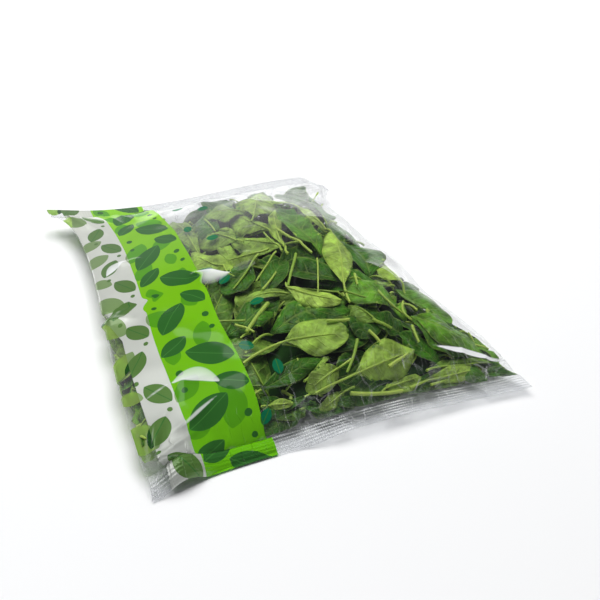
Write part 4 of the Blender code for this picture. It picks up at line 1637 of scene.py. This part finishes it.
# The leaves and cut stalks that stand out in the bag: foot, tip and a place on the edge, in
# pixels of the photograph, then the bow, how pale it is, if its underside shows, and where its
# stalk ends. They are laid first, in this order, so the first lie on top.
SEEN_LEAVES = (
    ((286, 340), (350, 330), (320, 352), 0.03, 0.60, True, (243, 362)),
    ((288, 286), (342, 297), (316, 303), -0.06, 1.00, True, (286, 281)),
    ((357, 373), (416, 349), (372, 343), 0.00, 0.65, True, (316, 393)),
    ((480, 339), (508, 364), (498, 350), 0.00, 0.80, False, (470, 330)),
    ((411, 313), (490, 352), (456, 321), 0.02, 0.80, False, (379, 289)),
    ((504, 361), (470, 333), (490, 342), 0.00, 0.85, False, (516, 372)),
    ((430, 381), (486, 367), (458, 365), 0.00, 0.80, True, (412, 388)),
    ((390, 388), (424, 376), (404, 371), 0.00, 0.70, True, (384, 394)),
    ((486, 375), (512, 366), (497, 366), 0.00, 0.45, False, (478, 378)),
    ((413, 318), (474, 352), (436, 343), -0.03, 0.65, False, (404, 300)),
    ((398, 282), (456, 318), (428, 292), 0.00, 0.75, False, (384, 274)),
    ((272, 326), (352, 303), (308, 323), 0.10, 0.40, False, (245, 352)),
    ((344, 281), (333, 226), (326, 245), 0.00, 0.95, True, (350, 300)),
    ((338, 229), (271, 194), (306, 206), 0.00, 0.95, True, (350, 240)),
    ((249, 231), (261, 192), (237, 214), 0.00, 0.85, True, (246, 244)),
    ((284, 241), (275, 208), (281, 222), 0.05, 0.95, True, (288, 252)),
    ((262, 388), (322, 352), (300, 378), 0.00, 0.22, False, (252, 395)),
    ((402, 297), (348, 284), (372, 273), 0.04, 0.80, False, (418, 308)),
    ((411, 312), (378, 285), (392, 304), 0.00, 0.95, False, (420, 320)),
    ((288, 289), (243, 298), (265, 287), -0.04, 0.50, True, (300, 288)),
    ((326, 246), (278, 206), (312, 220), 0.00, 0.75, False, (340, 256)),
    ((303, 208), (302, 178), (311, 190), 0.00, 0.30, False, (306, 220)),
    ((340, 227), (322, 199), (341, 212), 0.00, 0.55, False, (348, 240)),
    ((376, 266), (347, 229), (368, 240), 0.00, 0.45, False, (386, 276)),
    ((402, 280), (384, 259), (398, 265), 0.00, 0.80, True, (412, 290)),
    ((341, 366), (309, 390), (310, 375), 0.00, 0.60, True, (352, 358)),
    ((313, 372), (331, 357), (330, 372), 0.00, 0.45, False, (305, 380)),
    ((438, 367), (502, 362), (468, 351), 0.00, 0.20, False, (428, 370)),
    ((470, 379), (514, 367), (492, 362), 0.00, 0.30, False, (460, 382)),
    ((449, 363), (402, 330), (420, 353), 0.00, 0.35, False, (462, 370)),
    ((407, 331), (376, 313), (398, 316), 0.00, 0.12, False, (418, 340)),
    ((378, 318), (350, 298), (366, 297), 0.00, 0.35, False, (390, 326)),
    ((262, 291), (284, 256), (285, 275), 0.00, 0.30, False, (254, 304)),
    ((250, 262), (222, 292), (246, 286), 0.00, 0.30, False, (258, 252)),
    ((232, 273), (190, 252), (212, 271), 0.00, 0.80, True, (244, 280)),
    ((246, 204), (203, 213), (225, 199), 0.00, 0.50, True, (258, 202)),
    ((197, 250), (170, 214), (194, 227), 0.00, 0.60, True, (201, 258)),
    ((218, 226), (178, 222), (198, 212), 0.00, 0.45, False, (228, 228)),
    ((234, 236), (197, 229), (216, 221), 0.00, 0.55, True, (243, 240)),
    ((352, 246), (332, 213), (350, 228), 0.00, 0.45, False, (356, 254)),
    ((346, 392), (322, 411), (328, 398), 0.00, 0.60, True, (356, 386)),
    ((270, 404), (296, 402), (283, 399), 0.00, 0.90, True, (262, 406)),
    ((262, 396), (288, 416), (268, 413), 0.00, 0.25, False, (256, 388)),
    ((306, 396), (270, 414), (284, 403), 0.00, 0.30, False, (314, 392)),
    ((300, 400), (330, 413), (316, 402), 0.00, 0.40, False, (292, 396)),
    ((331, 397), (363, 406), (348, 397), 0.00, 0.15, False, (322, 394)),
    ((268, 411), (300, 410), (284, 404), 0.00, 0.20, False, (260, 412)),
    ((268, 226), (232, 207), (252, 205), 0.00, 0.60, True, (278, 232)),
    ((248, 326), (272, 306), (268, 318), 0.00, 0.50, False, (240, 336)),
    ((258, 250), (220, 258), (238, 262), 0.00, 0.70, True, (268, 247)),
    ((238, 264), (216, 236), (232, 244), 0.00, 0.60, True, (244, 272)),
    ((304, 214), (270, 207), (287, 202), 0.00, 0.55, False, (312, 216)),
)
SEEN_STALKS = (
    ((296, 252), (288, 284), 0.0012),
    ((503, 361), (517, 371), 0.0010),
    ((268, 301), (246, 330), 0.0016),
    ((276, 250), (256, 280), 0.0008),
    ((277, 227), (312, 251), 0.0011),
    ((252, 261), (233, 288), 0.0009),
    ((204, 218), (215, 230), 0.0008),
    ((235, 323), (254, 331), 0.0010),
    ((352, 393), (404, 391), 0.0014),
    ((327, 319), (350, 318), 0.0011),
    ((373, 318), (393, 327), 0.0012),
    ((369, 329), (381, 341), 0.0011),
    ((413, 324), (420, 341), 0.0012),
    ((390, 366), (409, 353), 0.0014),
    ((358, 338), (348, 372), 0.0011),
    ((355, 272), (358, 283), 0.0011),
    ((344, 289), (366, 296), 0.0009),
    ((262, 288), (276, 271), 0.0009),
    ((432, 385), (449, 380), 0.0009),
)


# The rest of the heap is leaves and cut stalks that fell at random: finer ones next to the film
# and plainer ones between them, at the left side and beneath.
STALK_LENGTH = (0.008, 0.034)
BLADE_LENGTH = (0.034, 0.060)
BLADE_SHAPE = (0.40, 0.66)
LONGEST_BLADE = 0.085
WIDEST_BLADE = 0.042
EDGE_FROM, EDGE_TO = 0.25, 0.75    # the stretch of a seen blade where its width is measured
SEEN_LEAN = 0.08
WIDEST_SHAPE = 0.8
LEAF_BOW = 0.09
STALK_SWING = 0.35
PRINTED_SIDE = 0.02        # nearer to the left fold than this, strewn leaves get no painted shade at the front
LOOSE_ACROSS, LOOSE_ALONG = (0.05, FILM_WIDTH), (0.01, 0.27)
LOOSE_PLACE = (0.15, 0.10)
LOOSE_LENGTH = (0.018, 0.046)
LOOSE_RADIUS = (0.0006, 0.0011)
LOOSE_BOW = 0.04
LOOSE_KEEP = (0.003, 0.006)
LOOSE_TAPER = (0.7, 0.95)
LOOSE_TONES = (0.35, 1.0)
SEEN_FINENESS = (14, 8, 0.0008, 1.6, 0.85, 0.45)
NEAR_FINENESS = (14, 8, 0.0008, 1.1, 0.60, 0.25)
BURIED_FINENESS = (8, 4, 0.0060, 0.9, 0.35, 0.15)
STEEP_SHARE = 0.35         # of the leaves this share may lean far, and the others only a little
STEEP_LEAN = 0.5
FLAT_LEAN = 0.14
FRONT_PAINTED_SHADE_END = 0.12     # towards the front the strewn leaves are darker: painted shade
FRONT_PAINTED_SHADE = 0.2
TURNED_OVER = 0.38
PLACES_TRIED = 12
LEAVES_TRIED = 3
STALKS_ALONG = (0.010, FILM_LENGTH - 0.012)
LOOSE_STALKS = 16
FIRST_STALKS = 5
HEAP_SEED = 41


def lay_seen_leaf(draw, foot, tip, edge, bow, tone, underside, stalk_end):
    """Lays a leaf that was read off the photograph."""
    pixels = (foot, tip, edge, stalk_end)
    foot, tip, edge, stalk_end = (np.array(film_place(*pixel)) for pixel in pixels)
    chord = tip - foot
    length = math.hypot(*chord)
    from_foot = edge - foot
    share = min(max(float(from_foot @ chord) / length ** 2, EDGE_FROM), EDGE_TO)
    aside = float(chord[0] * from_foot[1] - chord[1] * from_foot[0]) / length
    half_width = abs(aside - 4.0 * bow * share * (1.0 - share) * length)
    shortened = min(1.0, LONGEST_BLADE / length)
    foot = tip - shortened * chord
    stalk_end = foot + shortened * (stalk_end - tip + chord)
    length = length * shortened
    width = 2.0 * half_width / float(blade_outline(np.array(share), 0.5))
    lean = (draw.uniform(-SEEN_LEAN, SEEN_LEAN), draw.uniform(-SEEN_LEAN, SEEN_LEAN))
    width = min(width, WIDEST_SHAPE * length, WIDEST_BLADE)
    leaf = (tuple(foot), tuple(tip), bow, width, underside, tone, lean)
    lay_leaf(near_blades, stalks, draw, leaf, tuple(stalk_end), SEEN_FINENESS)


def lay_loose_stalk(draw, first, last, radius):
    """Lays a cut stalk between two places of the flat film."""
    share = np.linspace(0.0, 1.0, 9)
    line, _ = curved_line(first, last, draw.uniform(-LOOSE_BOW, LOOSE_BOW), share)
    if line[:, 1].min() < LOOSE_KEEP[0] or line[:, 1].max() > FILM_LENGTH - LOOSE_KEEP[1]:
        return
    thickness = radius * mix(1.0, draw.uniform(*LOOSE_TAPER), share)
    depth = lying_line(line[:, 0], line[:, 1], share) + thickness
    depth = np.maximum(depth, thickness + LEAST_COVER)
    lay_stalk(stalks, line, depth, thickness, draw.uniform(*LOOSE_TONES) * np.ones(len(share)))
    fill_under(line[:, 0], line[:, 1], depth + thickness)


NEAR_BY = 0.008 * np.array(((0, 1, -1, 0, 0), (0, 0, 0, 1, -1)))


def emptiest(draw, across_range, along_range):
    """Of a few random places of the film, the one where the bag is filled least deep."""
    best = None
    for _ in range(PLACES_TRIED):
        across = draw.uniform(*across_range)
        along = draw.uniform(*along_range)
        if along > back_limit(across) or right_limit(along) < across < FILM_WIDTH:
            continue
        near_along = np.clip(along + NEAR_BY[1], 0.0, FILM_LENGTH)
        score = float(filled_at(across + NEAR_BY[0], near_along).mean())
        if best is None or score < best[0]:
            best = (score, across, along)
    return best[1:] if best else None


def strew_leaves(draw, count, across_range, along_range, heap, fineness, tones, turned_over=TURNED_OVER):
    """Lays that many leaves in one part of the bag, where it is emptiest."""
    laid = 0
    for _ in range(LEAVES_TRIED * count):
        middle = emptiest(draw, across_range, along_range)
        if laid == count or middle is None:
            continue
        turn = draw.uniform(0.0, 2.0 * math.pi)
        length = draw.uniform(*BLADE_LENGTH)
        reach = (0.5 * length * math.cos(turn), 0.5 * length * math.sin(turn))
        foot = (middle[0] - reach[0], middle[1] - reach[1])
        tip = (middle[0] + reach[0], middle[1] + reach[1])
        steep = STEEP_LEAN if draw.random() < STEEP_SHARE else FLAT_LEAN
        lean = (draw.uniform(-steep, steep), draw.uniform(-steep, steep))
        width = length * draw.uniform(*BLADE_SHAPE)
        underside = draw.random() < turned_over
        tone = draw.uniform(*tones)
        # Towards the front the tone is lowered: painted shade.
        if PRINTED_SIDE < middle[0] < FILM_WIDTH:
            tone = tone * mix(FRONT_PAINTED_SHADE, 1.0, smooth_step(middle[1] / FRONT_PAINTED_SHADE_END))
        leaf = (foot, tip, draw.uniform(-LEAF_BOW, LEAF_BOW), width, underside, tone, lean)
        stalk_turn = turn + math.pi + draw.uniform(-STALK_SWING, STALK_SWING)
        stalk_length = draw.uniform(*STALK_LENGTH)
        stalk_across = foot[0] + stalk_length * math.cos(stalk_turn)
        stalk_along = foot[1] + stalk_length * math.sin(stalk_turn)
        if STALKS_ALONG[0] < stalk_along < STALKS_ALONG[1]:
            laid += lay_leaf(heap, stalks, draw, leaf, (stalk_across, stalk_along), fineness)


def strew_stalks(draw, count):
    """Lays cut stalks over the part of the bag that is seen."""
    for _ in range(count):
        across, along = emptiest(draw, LOOSE_ACROSS, LOOSE_ALONG) or LOOSE_PLACE
        turn = draw.uniform(0.0, 2.0 * math.pi)
        length = draw.uniform(*LOOSE_LENGTH)
        far = (across + length * math.cos(turn), along + length * math.sin(turn))
        lay_loose_stalk(draw, (across, along), far, draw.uniform(*LOOSE_RADIUS))


# Leaves are strewn along the front seal, over the top, in its gaps, down the left side, down the
# right side, round it, and on the sole: how many, where across and along the film, and their tones.
TOP = (0.0, FILM_WIDTH)
SOLE = (FILM_WIDTH, 2.0 * FILM_WIDTH)
WHOLE_LENGTH = (0.004, 0.30)

heap_draw = random.Random(HEAP_SEED)
near_blades, buried_blades, stalks = Heap(), Heap(), Lines()
for first, last, radius in SEEN_STALKS:
    lay_loose_stalk(heap_draw, film_place(*first), film_place(*last), radius)
for seen_leaf in SEEN_LEAVES:
    lay_seen_leaf(heap_draw, *seen_leaf)
strew_stalks(heap_draw, FIRST_STALKS)
strew_leaves(heap_draw, 30, (0.075, 0.250), (0.003, 0.016), near_blades, SEEN_FINENESS, (0.1, 0.9), 0.3)
strew_leaves(heap_draw, 110, TOP, WHOLE_LENGTH, near_blades, NEAR_FINENESS, (0.0, 0.65), 0.24)
strew_stalks(heap_draw, LOOSE_STALKS - FIRST_STALKS)
# The buried leaves get only dark tones and few pale undersides: painted shade of the deep gaps.
strew_leaves(heap_draw, 190, TOP, WHOLE_LENGTH, buried_blades, BURIED_FINENESS, (0.0, 0.3), 0.08)
strew_leaves(heap_draw, 60, (-0.020, 0.012), (0.004, 0.21), buried_blades, BURIED_FINENESS, (0.7, 1.0), 0.9)
strew_leaves(heap_draw, 60, (0.262, 0.310), (0.01, 0.28), near_blades, NEAR_FINENESS, (0.3, 1.0))
strew_leaves(heap_draw, 60, (0.300, 0.350), (0.02, 0.26), near_blades, NEAR_FINENESS, (0.3, 1.0))
strew_leaves(heap_draw, 90, SOLE, WHOLE_LENGTH, buried_blades, BURIED_FINENESS, (0.0, 0.9))
leaf_finish = leaf_material()
near_blades.piece("upper_leaves", leaf_finish, "spinach_leaf")
buried_blades.piece("lower_leaves", leaf_finish, "spinach_leaf")
stalks.piece("leaf_stalks", stalk_tree(), 8, stalk_material(), "spinach_stem")


# Deep inside, a lumpy near-black body fills the gaps: painted shade for the leaves deep in the dark.
CORE_ROWS = 90
CORE_COLUMNS = 80
CORE_LUMP = 0.0022
CORE_ALONG = (0.075, 0.80)           # shares of the bag's length, of its width and of its height
CORE_ACROSS = 0.88
CORE_HEIGHT = (0.16, 0.64)
CORE_ROUNDNESS = 0.6
CORE_BLOTCH_SCALE = 70.0
CORE_ROUGHNESS = 0.9
CORE_SHADE_DARK = (0.004, 0.014, 0.003, 1.0)
CORE_SHADE_LIGHT = (0.022, 0.070, 0.013, 1.0)


def core_points():
    """The dark body of painted shade: the bag's own section, drawn in from the film on every side."""
    share = np.linspace(0.0, 1.0, CORE_ROWS)[:, None]
    turn = np.linspace(0.0, 2.0 * math.pi, CORE_COLUMNS, endpoint=False)[None, :]
    round_end = np.maximum(0.0, 1.0 - np.abs(2.0 * share - 1.0) ** 4) ** 0.25
    across = np.clip(-np.cos(turn) * CORE_ACROSS * round_end, -1.0, 1.0)
    along = mix(*CORE_ALONG, share) * np.ones_like(turn)
    top, bottom = film_sheets(across, along)
    rise = 0.5 + 0.5 * np.abs(np.sin(turn)) ** CORE_ROUNDNESS * np.sign(np.sin(turn)) * round_end
    lump = np.sin(across * 41.0 + along * 23.0) * np.sin(along * 57.0 - across * 17.0)
    height = bottom[..., 2] + (top - bottom)[..., 2] * mix(*CORE_HEIGHT, rise)
    height = height + CORE_LUMP * lump * (rise - 0.5)
    return np.stack((top[..., 0], top[..., 1], height), -1) + film_shift


def core_faces():
    """The sides of the mass as a closed tube, with both ends filled."""
    first_row = np.arange(CORE_COLUMNS)
    row_starts = CORE_COLUMNS * np.arange(CORE_ROWS - 1)[:, None]
    near = (row_starts + first_row).ravel()
    after = (row_starts + np.roll(first_row, -1)).ravel()
    sides = np.stack((near, after, after + CORE_COLUMNS, near + CORE_COLUMNS), -1)
    last_row = first_row + (CORE_ROWS - 1) * CORE_COLUMNS
    return [*sides.tolist(), first_row[::-1].tolist(), last_row.tolist()]


core_material, core_tree, core_shader, core_at = plain_material("painted_shade_core")
core_blotch = cloudy(core_tree, core_at, CORE_BLOTCH_SCALE, 4.0)
core_shade_colour = blend_colour(core_tree, core_blotch, CORE_SHADE_DARK, CORE_SHADE_LIGHT)
core_tree.links.new(core_shade_colour, core_shader.inputs["Base Color"])
core_shader.inputs["Roughness"].default_value = CORE_ROUGHNESS
core_shader.inputs["Specular IOR Level"].default_value = 0.0
core = new_piece("painted_shade_core", core_points().reshape(-1, 3), core_faces(), core_material)
keep_with_bag(core)


# A plain pale surface under the bag, lit as in a white studio tent: a large soft light above and
# behind it, a smaller one at its left that only the film mirrors, and a bright ring low all round.
FLOOR_DROP = 0.0006
FLOOR_SIZE = 8.0
FLOOR_COLOUR = (0.93, 0.93, 0.935, 1.0)
FLOOR_ROUGHNESS = 0.6
GLOW_REACH = (0.55, 1.7)    # farther off than this the surface glows, in full from the second on
SKY_HEIGHT = (0.02, 0.26)   # the ring's full brightness ends at the first and its last at the second
SKY_ABOVE = (0.08, 0.085, 0.09, 1.0)
SKY_RING = (1.0, 1.0, 1.0, 1.0)

floor_material, floor_tree, floor_shader, floor_at = plain_material("pale_surface")
floor_shader.inputs["Base Color"].default_value = FLOOR_COLOUR
floor_shader.inputs["Roughness"].default_value = FLOOR_ROUGHNESS
floor_reach = add_node(floor_tree, "ShaderNodeVectorMath", {0: floor_at}, operation="LENGTH")
floor_glow = ranged(floor_tree, floor_reach.outputs["Value"], *GLOW_REACH)
floor_shader.inputs["Emission Color"].default_value = FLOOR_COLOUR
floor_tree.links.new(floor_glow, floor_shader.inputs["Emission Strength"])
half = 0.5 * FLOOR_SIZE
floor_ends = ((-half, -half), (half, -half), (half, half), (-half, half))
floor_corners = [(x, y, -FLOOR_DROP) for x, y in floor_ends]
floor = new_piece("floor", floor_corners, [(0, 1, 2, 3)], floor_material)


def soft_light(name, place, aim, width, height, watts, seen_in_film):
    """A rectangular lamp at a place, facing a point."""
    lamp = bpy.data.lights.new(name, "AREA")
    lamp.shape = "RECTANGLE"
    lamp.size = width
    lamp.size_y = height
    lamp.energy = watts
    holder = new_object(name, lamp)
    holder.location = place
    holder.rotation_euler = (Vector(aim) - Vector(place)).to_track_quat("-Z", "Y").to_euler()
    holder.visible_glossy = seen_in_film
    return holder


soft_light("overhead_light", (0.05, 0.85, 2.10), (0.0, 0.15, 0.0), 2.0, 2.0, 73.0, False)
sheen_light = soft_light("side_light", (-0.75, 0.20, 1.55), (0.0, 0.0, 0.0), 1.2, 1.2, 6.5, True)
sheen_light.visible_diffuse = False

world = bpy.data.worlds.new("studio")
world.use_nodes = True
bpy.context.scene.world = world
sky = world.node_tree
sky.nodes.clear()
direction = add_node(sky, "ShaderNodeTexCoord").outputs["Generated"]
height = add_node(sky, "ShaderNodeSeparateXYZ", {0: direction}).outputs[2]
ring = ranged(sky, height, *SKY_HEIGHT, 1.0, 0.0, interpolation_type="SMOOTHSTEP")
glow = blend_colour(sky, ring, SKY_ABOVE, SKY_RING)
backdrop = add_node(sky, "ShaderNodeBackground", {0: glow, 1: 1.0}).outputs[0]
add_node(sky, "ShaderNodeOutputWorld", {0: backdrop})

bpy.context.scene.view_settings.view_transform = "Standard"
